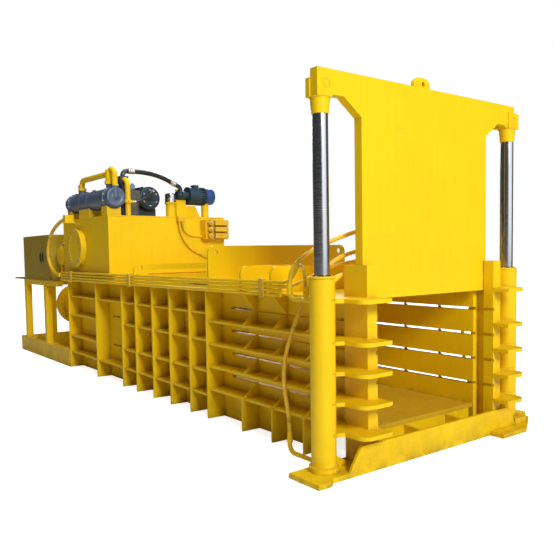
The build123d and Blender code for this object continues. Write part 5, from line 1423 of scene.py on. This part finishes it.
@dataclass
class LiftGear(Assembly):
    """Gland rings, wipers and bolts of the lift cylinders.

    Args:
        top: Top of the lift barrels.
        ring: Profile of a gland ring.
        wiper: Profile of a rod wiper.
        wiper_rise: How far the wiper lies above the barrel.
        bolt_rise: How far the bolts lie above the barrel.
        bolt_circle: Radius of the circle of bolts.
        bolts: Number of bolts on a gland.
        bolt: Corner radius of a bolt head.
    """

    top: float = 1.129
    ring: Profile = (
        (0.047, 0.0), (0.0715, 0.0), (0.0715, 0.012), (0.068, 0.0155), (0.055, 0.0155), (0.052, 0.013),
        (0.047, 0.013))
    wiper: Profile = (
        (0.0455, 0.0), (0.0515, 0.0), (0.0515, 0.004), (0.049, 0.0075), (0.0465, 0.0085), (0.0455, 0.0070))
    wiper_rise: float = 0.0132
    bolt_rise: float = 0.0157
    bolt_circle: float = 0.0615
    bolts: int = 8
    bolt: float = 0.0055

    def build(self) -> list[Piece]:
        """Build the gear of both cylinders.

        Returns:
            The pieces.
        """
        rings = Shaper()
        wipers = Shaper()
        points = []
        for y in (-LIFT_Y, LIFT_Y):
            rings.lathe((0.0, y, self.top), Axis.Z, self.ring, 48)
            wipers.lathe((0.0, y, self.top + self.wiper_rise), Axis.Z, self.wiper, 48)
            centre = (0.0, y, self.top + self.bolt_rise)
            points += ring_points(centre, Axis.Z, self.bolt_circle, self.bolts, 0.3)
        return [
            self.keep("gland_rings", rings, "yellow_paint"),
            self.keep("rod_wipers", wipers, "rubber_seal"),
            self.bolted("gland_bolts", points, Axis.Z, self.bolt, "painted_bolt"),
        ]


@dataclass
class SecondMotor(Assembly):
    """Fan cowl and cooling fins of the second motor, which lies along Y.

    Args:
        axis_x: X of its axis.
        axis_z: Height of its axis.
        cowl_y: Where the cowl starts.
        cowl: Profile of the cowl.
        grille_y: Where the grille's rings lie.
        grille_r: Inner radius of the first ring, and the step from ring to ring.
        wire: Width and depth of a ring.
        rings: Number of rings.
        bars: Number of bars across the grille.
        bar_y: Where the bars lie.
        bar_reach: Half the length of a bar.
        bar_half: Half the width of a bar.
        fin_y: Middle of the fins.
        fin_r: Radius of the circle that the fins stand on.
        fin_length: Length of a fin.
        fin_rise: Height of a fin.
        fins: Number of fins.
    """

    axis_x: float = -3.744
    axis_z: float = 1.935
    cowl_y: float = 0.588
    cowl: Profile = (
        (0.070, 0.0), (0.094, 0.0), (0.0945, 0.006), (0.0945, 0.088), (0.088, 0.104), (0.074, 0.108),
        (0.071, 0.104), (0.084, 0.100), (0.0905, 0.086), (0.0905, 0.006))
    grille_y: float = 0.686
    grille_r: float = 0.014
    wire: tuple[float, float] = (0.005, 0.004)
    rings: int = 5
    bars: int = 3
    bar_y: float = 0.690
    bar_reach: float = 0.082
    bar_half: float = 0.003
    fin_y: float = 0.53
    fin_r: float = 0.096
    fin_length: float = 0.105
    fin_rise: float = 0.016
    fins: int = 26

    def build(self) -> list[Piece]:
        """Build the cowl and the fins.

        Returns:
            The pieces.
        """
        x, z = self.axis_x, self.axis_z
        width, depth = self.wire
        shell = Shaper()
        shell.lathe((x, self.cowl_y, z), Axis.Y, self.cowl, 40)
        for i in range(self.rings):
            inner = self.grille_r * (i + 1)
            wire = ((inner, 0.0), (inner + width, 0.0), (inner + width, depth), (inner, depth))
            shell.lathe((x, self.grille_y, z), Axis.Y, wire, 32)
        for i in range(self.bars):
            shell.spoke((x, self.bar_y, z), (Axis.X, Axis.Z), math.pi * i / self.bars,
                        (-self.bar_reach, self.bar_reach), self.bar_half, Vector((0.0, depth, 0.0)))
        values = {"Count": self.fins, "Radius": self.fin_r, "Length": self.fin_length, "Rise": self.fin_rise,
                  "Material": self.kit.palette["motor_paint"]}
        return [
            self.keep("motor2_cowl", shell, "blue_cap"),
            self.kit.fins.round("motor2_fins", (x, self.fin_y, z), values),
        ]


@dataclass
class MainMotor(Assembly):
    """End shield of the main motor, which lies along X, and the fitting on its pump.

    Args:
        end: Middle of the motor's front end.
        face: How far the shield's face stands in front of it.
        hub: Profile of the hub on the face.
        rim: Profile of the rim.
        rim_off: How far the rim stands in front of the end.
        ribs: Number of ribs on the face.
        rib_reach: Distances of a rib's ends from the axis.
        rib_half: Half the width of a rib.
        rib_rise: Height of a rib.
        bolt_off: How far the bolts stand in front of the end.
        bolt_circle: Radius of the circle of bolts.
        bolt: Corner radius of a bolt head.
        pump_y: Middle of the pump.
        pump_top: Top of the pump.
        nut: Profile of the fitting's nut.
        plug: Profile of its plug.
    """

    end: Point = (-3.800, -0.070, 1.900)
    face: float = 0.020
    hub: Profile = ((0.0, 0.012), (0.028, 0.012), (0.032, 0.008), (0.034, 0.0), (0.0, 0.0))
    rim: Profile = ((0.100, 0.0), (0.117, 0.0), (0.120, 0.004), (0.117, 0.008), (0.100, 0.008))
    rim_off: float = 0.0005
    ribs: int = 6
    rib_reach: tuple[float, float] = (0.034, 0.088)
    rib_half: float = 0.004
    rib_rise: float = 0.007
    bolt_off: float = 0.0205
    bolt_circle: float = 0.083
    bolt: float = 0.008
    pump_y: float = -0.269
    pump_top: float = 2.035
    nut: Profile = (
        (0.021, 0.0), (0.030, 0.0), (0.032, 0.004), (0.032, 0.020), (0.027, 0.024), (0.027, 0.040),
        (0.024, 0.050), (0.021, 0.052))
    plug: Profile = ((0.0, 0.0), (0.016, 0.0), (0.016, 0.012), (0.012, 0.018), (0.0, 0.018))

    def build(self) -> list[Piece]:
        """Build the shield, its bolts and the pump's fitting.

        Returns:
            The pieces.
        """
        x, y, z = self.end
        centre = (x + self.face, y, z)
        shield = Shaper()
        shield.lathe(centre, Axis.X, self.hub)
        shield.lathe((x + self.rim_off, y, z), Axis.X, self.rim, 48)
        for i in range(self.ribs):
            turn = 2 * math.pi * (i + 0.5) / self.ribs
            rise = Vector((self.rib_rise, 0.0, 0.0))
            shield.spoke(centre, (Axis.Y, Axis.Z), turn, self.rib_reach, self.rib_half, rise)
        points = ring_points((x + self.bolt_off, y, z), Axis.X, self.bolt_circle, self.ribs)
        fitting = Shaper()
        fitting.lathe((x, self.pump_y, self.pump_top - self.nut[-1][1]), Axis.Z, self.nut, 6)
        fitting.lathe((x, self.pump_y, self.pump_top), Axis.Z, self.plug, 20)
        return [
            self.keep("motor_shield", shield, "motor_paint"),
            self.bolted("motor_shield_bolts", points, Axis.X, self.bolt),
            self.keep("pump_fitting", fitting, "pale_blue"),
        ]


@dataclass
class Cooler(Assembly):
    """Flange bolts, end cover, bands and neck bolts of the shell cooler, which lies along X.

    Args:
        ends: Where its shell starts and ends.
        flange_in: How far the flanges lie inside its ends.
        flange_t: How far the bolts stand in front of a flange's rear face.
        flange_circle: Radius of a flange's circle of bolts.
        flange_bolt: Corner radius of a flange bolt.
        cover: Profile of the end cover.
        cover_off: How far the cover starts behind the front end.
        band: Profile of a band.
        bands: Distances of the first bands from the rear end.
        last_band: Distance of the last band from the front end.
        lug: Lowest and highest corner of a band's lug, from the band's start on the axis.
        necks: X, height of the bolts and radius of their circle, of each neck.
        neck_bolt: Corner radius of a neck bolt.
    """

    ends: tuple[float, float] = (TANK_X[0] + 0.100, TANK_X[1] + 0.028)
    flange_in: float = 0.120
    flange_t: float = 0.028
    flange_circle: float = 0.1045
    flange_bolt: float = 0.0065
    cover: Profile = (
        (0.098, 0.0), (0.1005, 0.001), (0.096, 0.006), (0.070, 0.007), (0.066, 0.004), (0.022, 0.004),
        (0.020, 0.010), (0.0, 0.011))
    cover_off: float = 0.001
    band: Profile = ((0.0995, 0.0), (0.1025, 0.001), (0.1025, 0.029), (0.0995, 0.030))
    bands: tuple[float, ...] = (0.150, 0.440, 0.660)
    last_band: float = 0.160
    lug: tuple[Point, Point] = ((0.004, -0.018, 0.100), (0.026, 0.018, 0.116))
    necks: tuple[Point, ...] = ((-4.378, 2.029, 0.0395), (-3.600, 2.041, 0.0475))
    neck_bolt: float = 0.0055

    def build(self) -> list[Piece]:
        """Build every detail.

        Returns:
            The pieces.
        """
        rear, front = self.ends
        flanges = []
        for x in (rear + self.flange_in, front - self.flange_in):
            flanges += ring_points((x + self.flange_t, COOLER_Y, COOLER_Z), Axis.X, self.flange_circle, 10)
        end = Shaper()
        end.lathe((front - self.cover_off, COOLER_Y, COOLER_Z), Axis.X, self.cover, 48)
        bands = Shaper()
        for x in (*(rear + distance for distance in self.bands), front - self.last_band):
            start = Vector((x, COOLER_Y, COOLER_Z))
            bands.lathe(start, Axis.X, self.band, 64)
            bands.box(*(start + Vector(corner) for corner in self.lug), 0.003)
        necks = []
        for x, z, radius in self.necks:
            necks += ring_points((x, COOLER_Y, z), Axis.Z, radius, 6, 0.25)
        return [
            self.bolted("cooler_bolts", flanges, Axis.X, self.flange_bolt),
            self.keep("cooler_end_cover", end, "cooler_paint"),
            self.keep("cooler_bands", bands, "cooler_paint"),
            self.bolted("neck_bolts", necks, Axis.Z, self.neck_bolt, "painted_bolt"),
        ]


@dataclass
class Breather(Assembly):
    """Knurled rim and centre knob of the breather.

    Args:
        rim_base: Where the rim starts.
        rim: Profile of the rim.
        knob_z: Where the knob starts.
        knob: Profile of the knob.
    """

    rim_base: Point = (-3.700, 0.135, 1.852)
    rim: Profile = (
        (0.058, 0.0), (0.0625, 0.001), (0.0625, 0.010), (0.060, 0.012), (0.060, 0.026), (0.0625, 0.028),
        (0.0625, 0.036), (0.058, 0.038))
    knob_z: float = 1.9495
    knob: Profile = ((0.020, 0.0), (0.018, 0.006), (0.010, 0.009), (0.0, 0.010))

    def build(self) -> list[Piece]:
        """Build the rim and the knob.

        Returns:
            The pieces.
        """
        cap = Shaper()
        cap.lathe(self.rim_base, Axis.Z, self.rim, 60)
        cap.lathe((*self.rim_base[:2], self.knob_z), Axis.Z, self.knob, 24)
        return [self.keep("breather_rim", cap, "chrome_rod")]


@dataclass
class ValveBlock(Assembly):
    """Coils, plugs, nuts and screws of the control valves.

    Args:
        front: Front face of the valves.
        low: Lower edge of the lowest valve.
        pitch: Height of a valve.
        count: Number of valves.
        coil_y: Middle of the coils.
        coil: Profile of a coil.
        coil_off: How far a coil stands off the valve.
        plug: Lowest and highest corner of a plug, from the coil's middle on the valve's face.
        nut: Profile of a nut.
        nut_off: How far nuts and screws stand off the valve.
        screw_y: Places of the screws across a valve.
        screw_z: Places of the screws above and below a valve's middle.
        screw: Corner radius of a screw's head.
    """

    front: float = TANK_X[1] + 0.110
    low: float = 1.440
    pitch: float = 0.070
    count: int = 3
    coil_y: float = 0.435
    coil: Profile = (
        (0.020, 0.0), (0.0275, 0.0), (0.0285, 0.003), (0.0285, 0.036), (0.0275, 0.040), (0.020, 0.040))
    coil_off: float = 0.004
    plug: tuple[Point, Point] = ((0.010, -0.013, 0.012), (0.036, 0.013, 0.032))
    nut: Profile = ((0.0, 0.0), (0.015, 0.0), (0.015, 0.008), (0.012, 0.011), (0.0, 0.011))
    nut_off: float = 0.050
    screw_y: tuple[float, float] = (0.505, 0.635)
    screw_z: tuple[float, float] = (-0.013, 0.013)
    screw: float = 0.0055

    def build(self) -> list[Piece]:
        """Build every detail.

        Returns:
            The pieces.
        """
        coils = Shaper()
        plugs = Shaper()
        nuts = Shaper()
        heights = [self.low + self.pitch * (i + 0.5) for i in range(self.count)]
        for z in heights:
            face = Vector((self.front, self.coil_y, z))
            coils.lathe(face + Vector((self.coil_off, 0.0, 0.0)), Axis.X, self.coil, 28)
            plugs.box(*(face + Vector(corner) for corner in self.plug), 0.003)
            nuts.lathe(face + Vector((self.nut_off, 0.0, 0.0)), Axis.X, self.nut, 6)
        x = self.front + self.nut_off
        screws = [(x, y, z + rise) for z in heights for y in self.screw_y for rise in self.screw_z]
        return [
            self.keep("valve_coils", coils, "sprayed_clamp"),
            self.keep("valve_plugs", plugs, "black_plastic"),
            self.keep("valve_nuts", nuts, "bare_steel"),
            self.bolted("valve_screws", screws, Axis.X, self.screw),
        ]


@dataclass
class FilterAndPrefill(Assembly):
    """Bolts of the filter's foot and of the prefill valve, and the clamp on the return pipe.

    Args:
        foot: Middle of the filter's foot.
        foot_circle: Radius of its circle of bolts.
        foot_bolt: Corner radius of its bolts.
        clamp_base: Where the clamp starts on the return pipe.
        clamp: Profile of the clamp.
        lug: Lowest and highest corner of the clamp's lug.
        prefill: Middle of the prefill valve's face.
        prefill_circle: Radius of its circle of bolts.
        prefill_bolt: Corner radius of its bolts.
    """

    foot: Point = (-3.640, -0.450, 1.701)
    foot_circle: float = 0.051
    foot_bolt: float = 0.006
    clamp_base: Point = (-3.525, -0.450, 1.8115)
    clamp: Profile = ((0.035, 0.0), (0.0385, 0.001), (0.0385, 0.036), (0.035, 0.037))
    lug: tuple[Point, Point] = ((-3.495, -0.462, 1.815), (-3.473, -0.438, 1.845))
    prefill: Point = (-4.960, -0.6495, 1.285)
    prefill_circle: float = 0.1365
    prefill_bolt: float = 0.011

    def build(self) -> list[Piece]:
        """Build the bolts and the clamp.

        Returns:
            The pieces.
        """
        foot = ring_points(self.foot, Axis.Z, self.foot_circle, 4, 0.6)
        prefill = ring_points(self.prefill, Axis.NEAR, self.prefill_circle, 10, 0.2)
        clamp = Shaper()
        clamp.box(*self.lug, 0.003)
        clamp.lathe(self.clamp_base, Axis.Z, self.clamp, 40)
        return [
            self.bolted("filter_bolts", foot, Axis.Z, self.foot_bolt),
            self.keep("return_clamp", clamp, "yellow_paint"),
            self.bolted("prefill_bolts", prefill, Axis.NEAR, self.prefill_bolt),
        ]


@dataclass
class Cabinet(Assembly):
    """Handles and hinges of the control cabinet.

    Args:
        door_y: Outer face of the doors.
        handles: Name, body and X of each door's handle.
        handle_z: Lower edge of a handle.
        plate: Lowest and highest corner of a handle's plate, from the handle's corner on the door.
        grip: Lowest and highest corner of its grip.
        lock: Middle of its lock.
        lock_form: Profile of the lock.
        hinge_x: Places of the hinges' axes.
        hinge_in: How far a hinge's axis lies behind the doors' face.
        hinge_z: Heights of the hinges.
        hinge: Profile of a hinge.
    """

    door_y: float = -0.745
    handles: tuple[tuple[str, Body, float], ...] = (
        ("rear", Body.DOOR_REAR, -5.525), ("front", Body.DOOR_FRONT, -5.435))
    handle_z: float = 1.200
    plate: tuple[Point, Point] = ((0.0, -0.004, 0.0), (0.022, 0.001, 0.130))
    grip: tuple[Point, Point] = ((0.004, -0.016, 0.020), (0.018, -0.003, 0.110))
    lock: Point = (0.011, -0.003, 0.014)
    lock_form: Profile = ((0.0, 0.0), (0.007, 0.0), (0.007, 0.004), (0.0, 0.005))
    hinge_x: tuple[float, float] = (-6.228, -5.198)
    hinge_in: float = 0.0225
    hinge_z: tuple[float, float] = (1.065, 1.415)
    hinge: Profile = (
        (0.0, 0.0), (0.006, 0.001), (0.007, 0.004), (0.007, 0.056), (0.006, 0.059), (0.0, 0.060))

    def build(self) -> list[Piece]:
        """Build the cabinet's fittings.

        Returns:
            The pieces.
        """
        pieces = []
        for name, body, x in self.handles:
            corner = Vector((x, self.door_y, self.handle_z))
            handle = Shaper()
            handle.box(*(corner + Vector(place) for place in self.plate), 0.0015)
            handle.box(*(corner + Vector(place) for place in self.grip), 0.004)
            handle.lathe(corner + Vector(self.lock), Axis.NEAR, self.lock_form, 20)
            pieces.append(self.keep(f"door_handle_{name}", handle, "black_plastic", body))
        hinges = Shaper()
        for x in self.hinge_x:
            for z in self.hinge_z:
                hinges.lathe((x, self.door_y + self.hinge_in, z), Axis.Z, self.hinge, 16)
        return [*pieces, self.keep("door_hinges", hinges, "cabinet_paint")]


@dataclass
class Machine(Assembly):
    """Bolts of the main cylinder, and bolts and strips of the pipe clamps.

    Args:
        cylinder_z: Height of the main cylinder's axis.
        flange: X, radius of the circle and number of the flange bolts.
        cap: The same for the end cap.
        big_bolt: Corner radius of those bolts.
        clamp_x: Rear ends of the pipe clamps.
        pipe_z: Heights of the pipes.
        face_y: Outer face of a clamp.
        bolt_x: How far a clamp's bolts lie in front of its rear end.
        bolt_z: How far they lie from the pipes.
        clamp_bolt: Corner radius of those bolts.
        strip_x: Start and end of a strip, from the clamp's rear end.
        strip_z: How far a strip reaches past the pipes.
        strip_t: Thickness of a strip.
        strip_bevel: Width of its softened edges.
    """

    cylinder_z: float = 0.594
    flange: tuple[float, float, int] = (HOUSING_X - 0.050, 0.252, 16)
    cap: tuple[float, float, int] = (-6.400, 0.240, 16)
    big_bolt: float = 0.018
    clamp_x: tuple[float, ...] = (-4.440, -2.895, -0.786)
    pipe_z: tuple[float, ...] = (1.004, 1.032, 1.060, 1.088)
    face_y: float = -0.7715
    bolt_x: float = 0.025
    bolt_z: float = 0.014
    clamp_bolt: float = 0.0065
    strip_x: tuple[float, float] = (0.006, 0.044)
    strip_z: float = 0.018
    strip_t: float = 0.001
    strip_bevel: float = 0.0004

    def build(self) -> list[Piece]:
        """Build every detail.

        Returns:
            The pieces.
        """
        bottom, second, _, top = self.pipe_z
        start, end = self.strip_x
        clamp = []
        strips = Shaper()
        for x in self.clamp_x:
            for z in (bottom - self.bolt_z, second + self.bolt_z, top + self.bolt_z):
                clamp.append((x + self.bolt_x, self.face_y, z))
            strips.box((x + start, self.face_y, bottom - self.strip_z),
                       (x + end, self.face_y + self.strip_t, top + self.strip_z), self.strip_bevel)
        pieces = []
        for name, (x, radius, count) in (("flange_bolts", self.flange), ("cap_bolts", self.cap)):
            points = ring_points((x, 0.0, self.cylinder_z), Axis.REAR, radius, count)
            pieces.append(self.bolted(name, points, Axis.REAR, self.big_bolt))
        pieces.append(self.bolted("clamp_bolts", clamp, Axis.NEAR, self.clamp_bolt))
        return [*pieces, self.keep("clamp_strips", strips, "sprayed_clamp")]


@dataclass(frozen=True)
class Lamp:
    """A soft square lamp.

    Args:
        name: Its name.
        place: Where it hangs.
        target: Point that it faces.
        size: Side of its square.
        power: Its power in watts.
    """

    name: str
    place: Point
    target: Point
    size: float
    power: float

    def build(self) -> None:
        """Add the lamp to the scene."""
        data = bpy.data.lights.new(self.name, "AREA")
        data.shape = "SQUARE"
        data.size = self.size
        data.energy = self.power
        lamp = bpy.data.objects.new(self.name, data)
        away = Vector(self.place) - Vector(self.target)
        lamp.matrix_world = Matrix.Translation(self.place) @ frame_along(away)
        bpy.context.scene.collection.objects.link(lamp)


@dataclass
class Studio:
    """Camera, lamps, floor and background.

    Args:
        lamps: The lamps.
        position: Place of the camera, matched to the photograph.
        yaw: Its turn about the vertical, in degrees.
        pitch: How far it looks down, in degrees.
        roll: How far it leans, in degrees.
        sensor: Width of its sensor in millimetres.
        lens: Its focal length in millimetres.
        shift: Its shift sideways and up.
        sky: Strength of the world's light.
        fill: Colour of the world's light.
        window: Direction of the bright window that metal shows.
        window_edges: How closely a reflection has to face it, from the first trace to full strength.
        window_light: Brightness of reflections beside it and in it, beyond the sky's.
        floor_half: Half the side of the floor.
        floor_z: Height of the floor.
        floor_middle: Middle of the floor's glow, as the camera sees it.
        floor_squash: How far the glow is stretched each way.
        glow_reach: Distances between which the glow rises.
        glow: Its strength near the machine and far from it.
    """

    lamps: tuple[Lamp, ...] = (
        Lamp("key", (10.4, -2.5, 6.9), (-0.8, 0.0, 0.9), 3.6, 1430.0),
        Lamp("top", (-2.0, -0.4, 6.5), (-2.4, 0.0, 1.0), 4.0, 230.0),
        Lamp("rear", (-11.0, 6.0, 6.0), (-3.4, 0.0, 1.0), 4.0, 600.0),
    )
    position: Point = (2.7438, -3.2908, 1.2857)
    yaw: float = 53.127
    pitch: float = 3.549
    roll: float = -0.955
    sensor: float = 36.0
    lens: float = 41.936
    shift: tuple[float, float] = (0.00635, 0.0270)
    sky: float = 0.14
    fill: Color = (1.0, 0.86, 0.66)
    window: Point = (0.967, 0.252, 0.0)
    window_edges: tuple[float, float] = (0.74, 0.93)
    window_light: tuple[float, float] = (-0.08, 1.4)
    floor_half: float = 40.0
    floor_z: float = -0.001
    floor_middle: Point = (-3.2, 0.0, 0.0)
    floor_squash: Point = (0.5, 1.0, 1.0)
    glow_reach: tuple[float, float] = (2.2, 5.0)
    glow: tuple[float, float] = (0.80, 1.05)

    def build(self) -> None:
        """Build the studio."""
        self.camera()
        for lamp in self.lamps:
            lamp.build()
        self.world()
        self.floor()
        bpy.context.scene.view_settings.view_transform = "Standard"

    def camera(self) -> None:
        """Set the camera that was matched to the photograph."""
        turn, nod, lean = (math.radians(v) for v in (self.yaw, self.pitch, self.roll))
        forward = Vector((-math.sin(turn) * math.cos(nod), math.cos(turn) * math.cos(nod), -math.sin(nod)))
        right = Vector((math.cos(turn), math.sin(turn), 0.0))
        up = right.cross(forward)
        across = math.cos(lean) * right + math.sin(lean) * up
        upright = -math.sin(lean) * right + math.cos(lean) * up
        data = bpy.data.cameras.new("camera")
        data.sensor_width = self.sensor
        data.lens = self.lens
        data.shift_x, data.shift_y = self.shift
        camera = bpy.data.objects.new("camera", data)
        columns = [(*column, 0.0) for column in (across, upright, -forward)]
        camera.matrix_world = Matrix((*columns, (*self.position, 1.0))).transposed()
        bpy.context.scene.collection.objects.link(camera)
        bpy.context.scene.camera = camera

    def world(self) -> None:
        """White for the camera and for mirrors, dimmer as a light."""
        world = bpy.data.worlds.new("studio")
        world.use_nodes = True
        bpy.context.scene.world = world
        g = Graph(world.node_tree)
        back = world.node_tree.nodes["Background"].inputs
        path = g.add("ShaderNodeLightPath").outputs
        seen, mirrored_ray, through = (path[f"Is {ray} Ray"] for ray in ("Camera", "Glossy", "Transmission"))
        plain = g.math("MAXIMUM", g.math("MAXIMUM", seen, through), mirrored_ray)
        level = g.vector("MULTIPLY", g.add("ShaderNodeTexCoord").outputs["Generated"], (1.0, 1.0, 0.0))
        facing = g.vector("DOT_PRODUCT", g.vector("NORMALIZE", level), self.window)
        bright = g.times(mirrored_ray, g.span(facing, *self.window_edges, *self.window_light))
        white = g.plus(g.times(seen, 1.0 - self.sky), g.times(through, 1.0 - self.sky))
        g.link(g.blend(plain, self.fill, WHITE), back["Color"])
        g.link(g.plus(g.plus(white, bright), self.sky), back["Strength"])

    def floor(self) -> None:
        """Pale floor that keeps the machine's soft shadow."""
        half, z = self.floor_half, self.floor_z
        corners = [(-half, -half, z), (half, -half, z), (half, half, z), (-half, half, z)]
        mesh = bpy.data.meshes.new("floor")
        mesh.from_pydata(corners, [], [(0, 1, 2, 3)])
        material, g, shader = new_material("floor_sheet", (0.8, 0.8, 0.8))
        place = g.place()
        tint = g.span(g.noise(place, 1.5), 0.3, 0.7, 0.80, 0.83)
        shader["Roughness"].default_value = 0.85
        shader["Emission Color"].default_value = (*WHITE, 1.0)
        squashed = g.vector("MULTIPLY", g.vector("SUBTRACT", place, self.floor_middle), self.floor_squash)
        rise = g.span(g.vector("LENGTH", squashed), *self.glow_reach, *self.glow)
        seen = g.add("ShaderNodeLightPath").outputs["Is Camera Ray"]
        grey = g.add("ShaderNodeCombineColor", dict.fromkeys(range(3), tint)).outputs[0]
        g.link(grey, shader["Base Color"])
        g.link(g.times(seen, rise), shader["Emission Strength"])
        mesh.materials.append(material)
        floor = bpy.data.objects.new("floor", mesh)
        bpy.context.scene.collection.objects.link(floor)


def main() -> None:
    """Dress the frame, add the details and light the scene."""
    logging.basicConfig(level=logging.INFO, format="%(name)s: %(message)s")
    kit = Kit()
    LOG.info("dressed %d nodes", kit.palette.dress_nodes())
    parts = (Welds, HoseSet, LiftGear, SecondMotor, MainMotor, Cooler, Breather, ValveBlock, FilterAndPrefill,
             Cabinet, Machine)
    for part in parts:
        for piece in part(kit).build():
            LOG.info("%s: %s", part.__name__, piece.name)
    Studio().build()


if __name__ == "__main__":
    main()
